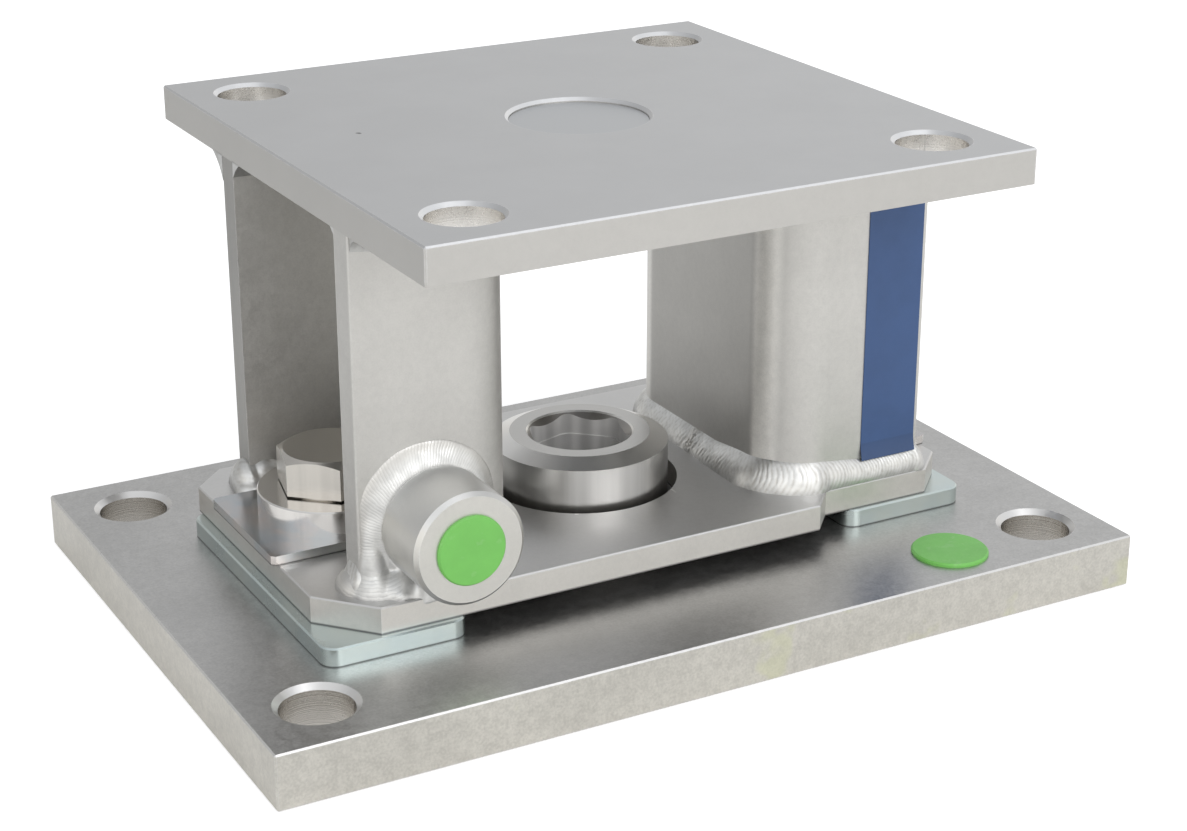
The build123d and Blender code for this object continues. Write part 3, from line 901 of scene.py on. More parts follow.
@dataclass(frozen=True)
class WeldMetal(Finish):
    """Cleaned weld metal, bright on its crests, with painted shade in its ripple valleys, hollows and toe,
    and painted light along a web.
    """

    glint: float = 1.15
    valley: Colour = (0.72, 0.7, 0.67, 1.0)
    toe: float = FOOT_TOP * MM
    toe_height: float = 2.6 * MM
    toe_shade: Colour = (0.84, 0.84, 0.84, 1.0)
    web_light_tone: float = 1.2
    web_end: tuple[float, float] = (47.0 * MM, 56.0 * MM)

    def material(self, effects: Effects) -> bpy.types.Material:
        """Build the weld's material.

        Args:
            effects: The shared effects.

        Returns:
            The material.
        """
        material, graph, shader, place = self.start()
        grain = effects.grain.put(graph, Vector=place, Grain_Scale=1300.0, Patch_Scale=140.0)
        colour = graph.blend(grain["Patches"], self.tone(0.86), self.tone(1.08))
        colour = graph.blend(graph.times(grain["Grain"], 0.3), colour, self.tone(self.glint))
        # Painted shade in the ripple valleys and hollows, read from the bead's attribute.
        ripple = graph.add("Attribute", attribute_name="ripple").outputs["Fac"]
        colour = graph.blend(ripple, graph.blend(1.0, colour, self.valley, "MULTIPLY"), colour)
        level = graph.parts(place)[2]
        # Painted shade near the toe, where the bead meets the foot plate.
        toe = graph.spread(level, self.toe, self.toe + self.toe_height, 1.0, 0.0)
        colour = graph.tinted(toe, colour, self.toe_shade)
        # Painted light on the bead where it runs along a post's web.
        web = graph.spread(graph.size(graph.parts(place)[0]), *self.web_end, 1.0, 0.0)
        colour = graph.tinted(web, colour, grey(self.web_light_tone))
        graph.feed(shader.inputs["Base Color"], colour)
        rough = graph.spread(grain["Patches"], 0.0, 1.0, self.roughness + 0.08, self.roughness - 0.07)
        graph.feed(shader.inputs["Roughness"], rough)
        self.bump(graph, shader, grain["Height"], 0.8, 0.05 * MM)
        return material


@dataclass(frozen=True)
class BossWeldMetal(Finish):
    """Bright ground weld metal with fine ripples round the boss and arcs at its foot."""

    toe_colour: Colour = (0.57, 0.56, 0.54, 1.0)
    toe_depth: tuple[float, float] = (-49.4 * MM, -48.0 * MM)

    def material(self, effects: Effects) -> bpy.types.Material:
        """Build the weld's material.

        Args:
            effects: The shared effects.

        Returns:
            The material.
        """
        material, graph, shader, place = self.start()
        grain = effects.grain.put(graph, Vector=place, Grain_Scale=1300.0, Patch_Scale=140.0)
        ripples = effects.ripples.put(graph, Vector=place)["Height"]
        colour = graph.blend(grain["Patches"], self.tone(0.9), self.tone(1.06))
        # Painted shade in the ripple valleys.
        colour = graph.blend(graph.spread(ripples, 0.0, 0.45), self.tone(0.84), colour)
        toe = graph.spread(graph.parts(place)[1], *self.toe_depth)
        colour = graph.blend(toe, colour, self.toe_colour)
        graph.feed(shader.inputs["Base Color"], colour)
        rough = graph.spread(grain["Patches"], 0.0, 1.0, self.roughness + 0.08, self.roughness - 0.06)
        graph.feed(shader.inputs["Roughness"], rough)
        height = graph.plus(graph.times(grain["Height"], 0.3), ripples)
        self.bump(graph, shader, height, 0.8, 0.055 * MM)
        return material


@dataclass(frozen=True)
class TurnedSteel(Finish):
    """Lathe-turned or polished steel with fine rings about one axis, and painted light and shade: sheen
    streaks on its walls, tones on its sloped and level faces, and light and shade in its bore.
    """

    centre: tuple[float, float] = (0.0, 0.0)
    pitch: float = 0.25 * MM
    ring_depth: float = 0.012 * MM
    ring_tone: float = 0.08
    streak_sheen_tone: float = 1.2
    bore: tuple[float, float] = (0.0, 0.0)
    bore_light: Colour = (0.92, 0.91, 0.9, 1.0)
    bore_shade: Colour = (0.92 * 0.62, 0.91 * 0.62, 0.9 * 0.62, 1.0)
    bore_dulled: float = 0.6
    cone_shade: Colour = (0.36, 0.345, 0.33, 1.0)
    bevel_light_tone: float = 1.0
    face_light_tone: float = 1.0

    def material(self, effects: Effects) -> bpy.types.Material:
        """Build the turned steel's material.

        Args:
            effects: The shared effects.

        Returns:
            The material.
        """
        material, graph, shader, place = self.start()
        shift = graph.add("Mapping")
        shift.inputs["Location"].default_value = (-self.centre[0], -self.centre[1], 0.0)
        graph.feed(shift.inputs["Vector"], place)
        lines = effects.turning.put(graph, Vector=shift.outputs["Vector"], Pitch=self.pitch)
        upright = graph.size(graph.facing()[2])
        flat = graph.spread(upright, 0.2, 0.6)
        rings = graph.times(graph.minus(lines["Lines"], 0.5), flat)
        rings = graph.plus(rings, 0.5)
        colour = graph.blend(rings, self.tone(1.0 - self.ring_tone), self.tone(1.0 + self.ring_tone))
        faint = graph.times(graph.times(lines["Faint"], flat), 0.3)
        colour = graph.blend(faint, colour, self.tone(1.15))
        x, y, z = graph.parts(shift.outputs["Vector"])
        # Streaks of painted sheen on the upright walls.
        around = graph.noise(graph.vector(x, y, graph.times(z, 0.02)), 260.0, 3.0, 0.6)
        streaks = graph.times(graph.spread(around, 0.3, 0.7), graph.minus(1.0, flat))
        colour = graph.blend(graph.times(streaks, 0.6), colour, self.tone(self.streak_sheen_tone))
        # Painted light by the way that a face lies: a tone for sloped and one for level faces.
        level = graph.spread(upright, 0.93, 0.97)
        sloped = graph.times(flat, graph.minus(1.0, level))
        colour = graph.blend(sloped, colour, self.tone(self.bevel_light_tone))
        colour = graph.blend(level, colour, self.tone(self.face_light_tone))
        # Painted light on the bore's walls with bands of painted shade, and painted shade on its cone.
        inside = graph.below(graph.distance(x, y), self.bore[0])
        bored = graph.times(inside, graph.below(z, self.bore[1]))
        cone = graph.times(bored, sloped)
        bored = graph.math("SUBTRACT", bored, cone, clamp=True)
        bands = graph.spread(graph.noise(graph.vector(x, y, 0.0), 150.0, 1.0, 0.5), 0.35, 0.65)
        colour = graph.blend(bored, colour, graph.blend(bands, self.bore_shade, self.bore_light))
        colour = graph.blend(cone, colour, self.cone_shade)
        graph.feed(shader.inputs["Base Color"], colour)
        graph.feed(shader.inputs["Metallic"], graph.minus(1.0, graph.times(bored, self.bore_dulled)))
        self.bump(graph, shader, rings, 0.7, self.ring_depth)
        return material


@dataclass(frozen=True)
class ZincPlate(Finish):
    """Blue-passivated zinc with faint yellow and violet shifts."""

    warm: Colour = (0.7, 0.68, 0.56, 1.0)
    cool: Colour = (0.62, 0.68, 0.68, 1.0)
    rainbow: float = 0.35
    side_light_tone: float = 1.0
    side_light_blue: float = 0.97
    # Level of the lowest edge that gets a painted contact shadow.
    contact_shadow_level: float = 0.0175

    def material(self, effects: Effects) -> bpy.types.Material:
        """Build the zinc's material.

        Args:
            effects: The shared effects.

        Returns:
            The material.
        """
        material, graph, shader, place = self.start()
        grain = effects.grain.put(graph, Vector=place, Grain_Scale=1500.0, Patch_Scale=30.0)
        sheen = effects.grain.put(graph, Vector=place, Grain_Scale=240.0, Patch_Scale=70.0)
        colour = graph.blend(grain["Patches"], self.cool, self.colour)
        colour = graph.blend(graph.times(sheen["Patches"], self.rainbow), colour, self.warm)
        colour = graph.blend(graph.times(grain["Grain"], 0.05), colour, self.tone(0.9))
        # Upright faces get painted light: lighter and a little bluer.
        upright = graph.size(graph.facing()[2])
        side = graph.spread(upright, 0.5, 0.95, 1.0, 0.0)
        lit = (self.side_light_tone, self.side_light_tone, self.side_light_tone * self.side_light_blue, 1.0)
        colour = graph.tinted(side, colour, lit)
        graph.feed(shader.inputs["Base Color"], self.contact_shadowed(graph, place, colour))
        rough = graph.spread(grain["Patches"], 0.0, 1.0, self.roughness - 0.03, self.roughness + 0.04)
        graph.feed(shader.inputs["Roughness"], rough)
        self.bump(graph, shader, grain["Height"], 0.3, 0.0015 * MM)
        return material


@dataclass(frozen=True)
class Plastic(Finish):
    """Moulded plastic, film or rubber with a faint grain."""

    grain_scale: float = 1500.0
    grain_depth: float = 0.02 * MM
    dust: float = 0.06
    fold: float = -1.0

    def material(self, effects: Effects) -> bpy.types.Material:
        """Build the plastic's material.

        Args:
            effects: The shared effects.

        Returns:
            The material.
        """
        material, graph, shader, place = self.start()
        grain = effects.grain.put(graph, Vector=place, Grain_Scale=self.grain_scale, Patch_Scale=70.0)
        colour = graph.blend(grain["Patches"], self.tone(0.95), self.tone(1.05))
        dust = effects.smudges.put(graph, Vector=place, Scale=240.0, Limit=0.6)["Spots"]
        colour = graph.blend(graph.times(dust, self.dust), colour, (0.7, 0.7, 0.68, 1.0))
        bent = graph.spread(graph.parts(place)[2], self.fold - 0.4 * MM, self.fold + 0.4 * MM, 0.3, 0.0)
        colour = graph.blend(bent, colour, self.tone(0.4))
        graph.feed(shader.inputs["Base Color"], colour)
        rough = graph.spread(grain["Grain"], 0.0, 1.0, self.roughness - 0.04, self.roughness + 0.06)
        graph.feed(shader.inputs["Roughness"], rough)
        self.bump(graph, shader, grain["Height"], 0.5, self.grain_depth)
        return material


@dataclass
class WeldPath:
    """A line in plan with rounded corners, which a bead follows."""

    corners: list[tuple[float, float]]
    radii: list[float]
    step: float
    weld_side: WeldSide = WeldSide.OUTSIDE

    def sample(self) -> tuple[np.ndarray, np.ndarray]:
        """Walk the line in even steps.

        Returns:
            The points and the direction out of the line at each, in millimetres.
        """
        spots: list[np.ndarray] = []
        ways: list[np.ndarray] = []
        nodes = [np.array(corner) for corner in self.corners]
        start = nodes[0]
        for index, corner in enumerate(nodes[1:-1]):
            back = self.unit(nodes[index] - corner)
            ahead = self.unit(nodes[index + 2] - corner)
            turn = math.pi - math.acos(float(np.clip(back @ ahead, -1.0, 1.0)))
            radius = self.radii[index]
            reach = radius * math.tan(turn / 2.0)
            self.straight(spots, ways, start, corner + back * reach)
            centre = corner + self.unit(back + ahead) * radius / math.cos(turn / 2.0)
            self.bend(spots, ways, corner + back * reach, corner + ahead * reach, centre)
            start = corner + ahead * reach
        self.straight(spots, ways, start, nodes[-1])
        directions = np.array(ways)
        outward = np.column_stack((-directions[:, 1], directions[:, 0])) * self.weld_side.value
        return np.array(spots), outward

    @staticmethod
    def unit(vector: np.ndarray) -> np.ndarray:
        """The vector at length one."""
        return vector / np.linalg.norm(vector)

    def straight(self, spots: list, ways: list, first: np.ndarray, last: np.ndarray) -> None:
        """Add a straight stretch.

        Args:
            spots: Points so far.
            ways: Directions so far.
            first: Where the stretch starts.
            last: Where it ends.
        """
        length = float(np.linalg.norm(last - first))
        count = max(2, round(length / self.step))
        for share in np.linspace(0.0, 1.0, count, endpoint=False):
            spots.append(first + (last - first) * share)
            ways.append((last - first) / length)

    def bend(
        self, spots: list, ways: list, first: np.ndarray, last: np.ndarray, centre: np.ndarray
    ) -> None:
        """Add an arc.

        Args:
            spots: Points so far.
            ways: Directions so far.
            first: Where the arc starts.
            last: Where it ends.
            centre: Its middle.
        """
        arm, end = first - centre, last - centre
        turn = math.atan2(arm[0] * end[1] - arm[1] * end[0], float(arm @ end))
        radius = float(np.linalg.norm(arm))
        count = max(10, round(abs(turn) * radius / self.step))
        for share in np.linspace(0.0, 1.0, count, endpoint=False):
            angle = turn * share
            swung = np.array([
                arm[0] * math.cos(angle) - arm[1] * math.sin(angle),
                arm[0] * math.sin(angle) + arm[1] * math.cos(angle),
            ])
            spots.append(centre + swung)
            ways.append(np.array([-swung[1], swung[0]]) / radius * math.copysign(1.0, turn))


@dataclass
class BeadSurface:
    """How a bead's face is rippled along its run."""

    pitch_at: Series = (0.0, 400.0)
    pitches: Series = (1.9, 1.9)
    crescent: float = 2.0
    ripple_at: Series = (0.0, 1.0)
    ripple_height: Series = (0.1, 0.1)
    crinkle_height: Series = (0.0, 0.0)
    lump_height: float = 0.12
    stops: Series = ()
    seed: int = 3
    drift_wave: float = 3.1
    drift: float = 0.7
    wobble_wave: float = 0.9
    wobble: float = 0.22
    full_ripple: float = 0.16
    full_crinkle: float = 0.1
    face_width: float = 7.0
    stop_width: float = 2.4
    stop_height: float = 0.55
    hollow_after: float = 3.2
    hollow_width: float = 1.1
    hollow_depth: float = 0.45

    def count_ripples(self, run: np.ndarray) -> np.ndarray:
        """Number of ripples from the bead's start, which grows as the pitches say.

        Args:
            run: Distance along the bead, in millimetres.

        Returns:
            The number at each distance.
        """
        table = np.linspace(-20.0, 400.0, 4201)
        density = 1.0 / np.interp(table, self.pitch_at, self.pitches)
        return np.interp(run, table, np.cumsum(density) * (table[1] - table[0]))

    def arches(self, run: np.ndarray, across: np.ndarray) -> np.ndarray:
        """Row of low arches along the bead, with a sharp valley between two of them.

        Args:
            run: Distance along the bead, in millimetres.
            across: Place across it, from 0 at the plate to 1 at the post.

        Returns:
            Values from 0 in a valley to 1 on a crest.
        """
        drift = Waver(self.seed, self.drift_wave).at(run) * self.drift
        bulge = self.crescent * (1.0 - (2.0 * across - 1.0) ** 2)
        wobble = Waver(self.seed + 5, self.wobble_wave).at(run + 11.0 * across) * self.wobble
        phase = self.count_ripples(run + drift + bulge + wobble)
        share = phase - np.floor(phase)
        return 1.0 - (2.0 * share - 1.0) ** 2

    def shades(self, run: np.ndarray, across: np.ndarray) -> np.ndarray:
        """How bright each point of the bead's face is: painted shade in the ripple valleys and in the
        hollows of the crinkle, and a darker speckled patch at each stop.

        Args:
            run: Distance along the bead, in millimetres.
            across: Place across it, from 0 at the plate to 1 at the post.

        Returns:
            Values from 0 in a deep valley to 1 on a crest or a smooth stretch.
        """
        strength = np.interp(run, self.ripple_at, self.ripple_height) / self.full_ripple
        strength = np.clip(strength, 0.0, 1.0)
        fine = 1.0 + 0.5 * Crinkle(self.seed + 13, 2.0).at(run, 6.0 * across)
        shade = 1.0 - np.clip(strength * fine, 0.0, 1.0) * (1.0 - self.arches(run, across))
        uneven = np.interp(run, self.ripple_at, self.crinkle_height) / self.full_crinkle
        hollows = np.clip(-self.crinkle(run, across), 0.0, 1.0)
        shade -= np.clip(uneven * hollows * 0.7, 0.0, 0.7)
        for stop in self.stops:
            near = np.exp(-(((run - stop) / 2.2) ** 2))
            speckle = 0.5 + 0.5 * Waver(self.seed + 15, 0.5).at(run + 31.0 * across)
            shade *= 1.0 - near * speckle
        return shade

    def crinkle(self, run: np.ndarray, across: np.ndarray) -> np.ndarray:
        """Fine unevenness of the bead's face, of about -1 to 1."""
        return Crinkle(self.seed + 19, 1.5).at(run, self.face_width * across)

    def relief(self, run: np.ndarray, across: np.ndarray) -> np.ndarray:
        """Height of the bead's face over its plain section.

        Args:
            run: Distance along the bead, in millimetres.
            across: Place across it, from 0 at the plate to 1 at the post.

        Returns:
            Heights in millimetres.
        """
        arch = self.arches(run, across)
        size = np.interp(run, self.ripple_at, self.ripple_height)
        size = size * (1.0 + 0.4 * Waver(self.seed + 7, 1.6).at(run))
        lumps = Waver(self.seed + 9, 7.0).at(run)
        lumps = lumps + 0.5 * Crinkle(self.seed + 11, 4.5).at(run, self.face_width * across)
        fade = np.clip(np.sin(np.clip(across, 0.0, 1.0) * math.pi), 0.0, 1.0) ** 0.5
        height = size * (arch - 0.6) + self.lump_height * lumps * 0.5
        uneven = self.crinkle(run, across)
        height += np.interp(run, self.ripple_at, self.crinkle_height) * uneven
        for stop in self.stops:
            lump = np.exp(-(((run - stop) / self.stop_width) ** 2))
            hollow = np.exp(-(((run - stop - self.hollow_after) / self.hollow_width) ** 2))
            height += lump * (self.stop_height + 0.16 * uneven)
            height -= hollow * self.hollow_depth
        return height * fade


@dataclass
class WeldBead:
    """A fillet weld between a plate and what stands on it, made from a grid."""

    name: str
    surface: BeadSurface
    swell: float
    face_steps: int = 16
    taper: float = 3.0
    smallest: float = 0.06
    buried: float = 0.15
    toe_buried: float = 0.4

    def build(
        self,
        roots: np.ndarray,
        across: np.ndarray,
        up: np.ndarray,
        legs: np.ndarray,
        rises: np.ndarray,
        closed: bool = False,
    ) -> bpy.types.Object:
        """Bend a grid into the bead.

        Args:
            roots: Points where the plate meets the post, in millimetres.
            across: Direction over the plate at each point.
            up: Direction over the post at each point.
            legs: Width over the plate at each point.
            rises: Height over the post at each point.
            closed: Whether the last point is the first again.

        Returns:
            The bead's object.
        """
        rows = len(roots)
        columns = self.face_steps + 3
        grid = add_grid(self.name, columns, rows)
        column, row = grid_places(grid, columns, rows)
        middle = roots + across * (legs[:, None] / 2.0)
        steps = np.linalg.norm(np.diff(middle, axis=0), axis=1)
        run = np.concatenate(([0.0], np.cumsum(steps)))
        size = np.ones(rows)
        if self.taper > 0.0 and not closed:
            rest = np.minimum(run, run[-1] - run)
            left = 1.0 - np.clip(rest / self.taper, 0.0, 1.0)
            size = np.sqrt(np.clip(1.0 - left**2, 0.0, 1.0)) * (1.0 - self.smallest) + self.smallest
        leg, rise = (legs * size)[row], (rises * size)[row]
        share = np.clip(column / self.face_steps, 0.0, 1.0)
        chord = np.sqrt(leg**2 + rise**2)
        bow = self.swell * 4.0 * share * (1.0 - share) * size[row]
        relief = self.surface.relief(run[row], share) * size[row]
        out_part = leg * (1.0 - share) + (bow + relief) * rise / chord
        up_part = rise * share + (bow + relief) * leg / chord
        root_column = column == self.face_steps + 1
        toe_column = column == self.face_steps + 2
        out_part = np.where(root_column, -self.buried, np.where(toe_column, leg, out_part))
        up_part = np.where(root_column, -self.buried, np.where(toe_column, 0.0, up_part))
        first_toe = (column == 0) | toe_column
        up_part = np.where(first_toe, -self.buried * self.toe_buried, up_part)
        post_toe = column == self.face_steps
        out_part = np.where(post_toe, -self.buried * self.toe_buried, out_part)
        spots = roots[row] + across[row] * out_part[:, None] + up[row] * up_part[:, None]
        # Each point's painted shade: darker in the ripple valleys and hollows.
        shade = grid.data.attributes.new("ripple", "FLOAT", "POINT")
        shade.data.foreach_set("value", self.surface.shades(run[row], share))
        write_points(grid, spots * MM)
        close_and_smooth(grid, 60.0)
        return grid


@dataclass(frozen=True)
class Dab:
    """A rounded lump of weld metal: its middle and its half sizes, in millimetres."""

    middle: Point
    radii: Point

    def build(self, name: str) -> bpy.types.Object:
        """Add the lump as a stretched sphere.

        Args:
            name: Name of the new object.

        Returns:
            The lump.
        """
        clear_selection()
        bpy.ops.mesh.primitive_uv_sphere_add(segments=32, ring_count=20, radius=1.0)
        lump = bpy.context.object
        lump.name = name
        lump.scale = Vector(self.radii) * MM
        lump.location = Vector(self.middle) * MM
        bpy.ops.object.transform_apply(location=True, rotation=True, scale=True)
        return lump


@dataclass(frozen=True)
class FootRun:
    """How one post's foot bead changes along its run: its width, its height and its face."""

    legs_at: Series
    legs: Series
    surface: BeadSurface
    rises_at: Series = (0.0, 1.0)
    rises: Series = (1.0, 1.0)
    from_far_end: bool = False


LEFT_FOOT_RUN = FootRun(
    legs_at=(62.0, 80.0),
    legs=(2.6, 7.0),
    from_far_end=True,
    surface=BeadSurface(
        ripple_at=(0.0, 12.0, 20.0, 206.0),
        ripple_height=(0.0, 0.0, 0.1, 0.1),
        crinkle_height=(0.05, 0.05, 0.0, 0.0),
        seed=21,
    ),
)

RIGHT_FOOT_RUN = FootRun(
    legs_at=(30.0, 42.0, 60.0, 72.0, 86.0, 104.0),
    legs=(7.0, 4.4, 4.2, 5.6, 5.6, 4.6),
    rises_at=(30.0, 46.0, 62.0, 78.0, 92.0),
    rises=(1.0, 1.26, 1.34, 1.18, 0.95),
    surface=BeadSurface(
        pitch_at=(0.0, 20.0, 45.0, 70.0, 400.0),
        pitches=(1.05, 1.1, 1.45, 1.9, 2.0),
        ripple_at=(0.0, 6.0, 12.0, 70.0, 79.0, 104.0, 206.0),
        ripple_height=(0.0, 0.03, 0.09, 0.11, 0.02, 0.0, 0.0),
        crinkle_height=(0.03, 0.01, 0.0, 0.0, 0.05, 0.07, 0.05),
        lump_height=0.07,
        stops=(109.0,),
        seed=3,
    ),
)


@dataclass
class YokeWelds:
    """The welds of both channel posts on the foot plate and under the top plate."""

    foot_leg: float = 7.0
    foot_rise: float = 7.4
    ledge_kept: float = 1.1
    ledge_read: float = 2.0
    foot_ends: tuple[Series, Series] = ((0.0, 7.5, 13.0), (2.8, 3.4, 7.0))
    foot_end_rises: tuple[Series, Series] = ((0.0, 6.0, 14.0), (1.1, 1.15, 1.0))
    evened: float = 2.0
    foot_step: float = 0.24
    foot_swell: float = 0.8
    corner_radius: float = 0.6
    left_run: FootRun = LEFT_FOOT_RUN
    right_run: FootRun = RIGHT_FOOT_RUN
    top_step: float = 0.8
    inner_top: Point = (5.5, 5.0, 0.5)
    outer_top: Point = (8.0, 8.0, 1.0)
    top_front: tuple[Series, Series] = ((0.0, 30.0), (0.6, 1.0))
    end_voxel: float = 0.4
    end_smoothing: int = 20
    end_dabs: tuple[Dab, ...] = (
        Dab((-98.8, 42.2, 31.4), (5.2, 8.0, 10.8)),
        Dab((-93.2, 40.2, 32.0), (8.8, 5.6, 10.4)),
        Dab((-98.2, 38.2, 31.0), (6.4, 6.0, 6.4)),
    )

    def edge_tree(self) -> BVHTree:
        """Sort the foot plate's faces, to find how far its edge is.

        Returns:
            The tree of its faces, in millimetres.
        """
        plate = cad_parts["foot_plate"]
        points = [vertex.co / MM for vertex in plate.data.vertices]
        faces = [tuple(face.vertices) for face in plate.data.polygons]
        return BVHTree.FromPolygons(points, faces)

    def outer_path(self, side: Side, returned: bool, step: float) -> WeldPath:
        """Line round the outside of a post.

        Args:
            side: Which post.
            returned: Whether the bead turns round the flange ends.
            step: Distance between points.

        Returns:
            The path in plan.
        """
        inner = POST_HALF - POST_WALL
        corners = [(POST_END, -POST_HALF), (WEB_OUTER, -POST_HALF)]
        corners += [(WEB_OUTER, POST_HALF), (POST_END, POST_HALF)]
        radii = [BEND_RADIUS, BEND_RADIUS]
        if returned:
            corners = [(POST_END, -inner), *corners, (POST_END, inner)]
            radii = [self.corner_radius, *radii, self.corner_radius]
        turned = [(x * side.value, y * side.value) for x, y in corners]
        return WeldPath(turned, radii, step)

    def inner_path(self, side: Side, step: float) -> WeldPath:
        """Line round the inside of a post.

        Args:
            side: Which post.
            step: Distance between points.

        Returns:
            The path in plan.
        """
        inner = POST_HALF - POST_WALL
        web = WEB_OUTER + POST_WALL
        corners = [(POST_END, -inner), (web, -inner), (web, inner), (POST_END, inner)]
        radius = BEND_RADIUS - POST_WALL
        turned = [(x * side.value, y * side.value) for x, y in corners]
        return WeldPath(turned, [radius, radius], step, WeldSide.INSIDE)

    def ledge(self, plan: np.ndarray, outward: np.ndarray) -> np.ndarray:
        """Width that a foot bead can take at each point before it meets the foot plate's edge.

        Args:
            plan: The bead's points in plan.
            outward: The direction out of the post at each.

        Returns:
            The widths, no wider than the bead's full one.
        """
        tree = self.edge_tree()
        legs = np.empty(len(plan))
        for index, (spot, way) in enumerate(zip(plan, outward)):
            origin = Vector((spot[0] - way[0], spot[1] - way[1], FOOT_TOP - self.ledge_read))
            hit = tree.ray_cast(origin, Vector((way[0], way[1], 0.0)), self.foot_leg + 1.0)
            legs[index] = min(self.foot_leg, hit[3] - self.ledge_kept) if hit[0] else self.foot_leg
        return legs

    def foot_bead(self, side: Side) -> bpy.types.Object:
        """Bead round the foot of a post, no wider than the foot plate's ledge.

        Args:
            side: Which post.

        Returns:
            The bead's object.
        """
        foot_run = self.left_run if side is Side.LEFT else self.right_run
        plan, outward = self.outer_path(side, True, self.foot_step).sample()
        legs = self.ledge(plan, outward)
        steps = np.linalg.norm(np.diff(plan, axis=0), axis=1)
        run = np.concatenate(([0.0], np.cumsum(steps)))
        from_end = np.minimum(run, run[-1] - run)
        legs = np.minimum(legs, np.interp(from_end, *self.foot_ends))
        rise_at, factors = self.foot_end_rises
        rises = np.interp(from_end, rise_at, [self.foot_rise * factor for factor in factors])
        counted = run[-1] - run if foot_run.from_far_end else run
        legs = np.minimum(legs, np.interp(counted, foot_run.legs_at, foot_run.legs))
        rises *= np.interp(counted, foot_run.rises_at, foot_run.rises)
        window = round(self.evened / self.foot_step) * 2 + 1
        padded = np.pad(legs, window // 2, mode="edge")
        legs = np.convolve(padded, np.ones(window) / window, mode="valid")
        name = f"{side.name.lower()}_foot_bead"
        bead = WeldBead(name, foot_run.surface, swell=self.foot_swell, face_steps=20, taper=2.0)
        roots = np.column_stack((plan, np.full(len(plan), FOOT_TOP)))
        across = np.column_stack((outward, np.zeros(len(plan))))
        up = np.tile([0.0, 0.0, 1.0], (len(plan), 1))
        return bead.build(roots, across, up, legs, rises)

    def top_bead(self, side: Side, inside: bool) -> bpy.types.Object:
        """Smooth flared bead under the top plate.

        Args:
            side: Which post.
            inside: Whether it is the one in the channel.

        Returns:
            The bead's object.
        """
        step = self.top_step
        path = self.inner_path(side, step) if inside else self.outer_path(side, False, step)
        plan, outward = path.sample()
        leg, drop, sink = self.inner_top if inside else self.outer_top
        name = f"{side.name.lower()}_{'inner' if inside else 'top'}_bead"
        surface = BeadSurface(ripple_height=(0.03, 0.03), seed=36)
        bead = WeldBead(name, surface, swell=-sink, face_steps=14, taper=0.0)
        roots = np.column_stack((plan, np.full(len(plan), TOP_BOTTOM)))
        across = np.column_stack((outward, np.zeros(len(plan))))
        down = np.tile([0.0, 0.0, -1.0], (len(plan), 1))
        size = np.ones(len(plan))
        if not inside:
            from_front = np.abs(plan[:, 0]) - POST_END
            front = plan[:, 1] < 0.0
            size = np.where(front, np.interp(-from_front, *self.top_front), 1.0)
        return bead.build(roots, across, down, leg * size, drop * size)

    def bead_end(self) -> bpy.types.Object:
        """Spread lump where the left foot bead ends on the far flange.

        Returns:
            The lump.
        """
        pieces = [dab.build(f"end_dab_{index}") for index, dab in enumerate(self.end_dabs)]
        lump = melt_together(pieces, "left_foot_bead_end", self.end_voxel, self.end_smoothing)
        x, y, z = read_points(lump).T / MM
        # Painted shade in the lump's hollows, from a crinkle.
        shade = lump.data.attributes.new("ripple", "FLOAT", "POINT")
        uneven = Crinkle(77, 2.4).at(x + y, z)
        shade.data.foreach_set("value", np.clip(0.85 + 0.3 * uneven, 0.0, 1.0))
        return lump

    def dress(self, piece: bpy.types.Object, finish: bpy.types.Material, node: str) -> None:
        """Give a bead its finish, its body and the node that it stands for.

        Args:
            piece: The bead.
            finish: Its material.
            node: The CAD node.
        """
        piece.data.materials.clear()
        piece.data.materials.append(finish)
        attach(piece, "module")
        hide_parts(node)

    def build(self, foot_finish: bpy.types.Material, top_finish: bpy.types.Material) -> None:
        """Build and dress all the beads.

        Args:
            foot_finish: Material of the beads on the foot plate.
            top_finish: Material of the beads under the top plate.
        """
        for side in Side:
            name = side.name.lower()
            self.dress(self.foot_bead(side), foot_finish, f"{name}_post_foot_weld")
            if side is Side.LEFT:
                self.dress(self.bead_end(), foot_finish, "left_post_foot_weld")
            self.dress(self.top_bead(side, False), top_finish, f"{name}_post_top_weld")
            self.dress(self.top_bead(side, True), top_finish, f"{name}_post_inner_weld")
            LOG.info("welds of the %s post built", name)


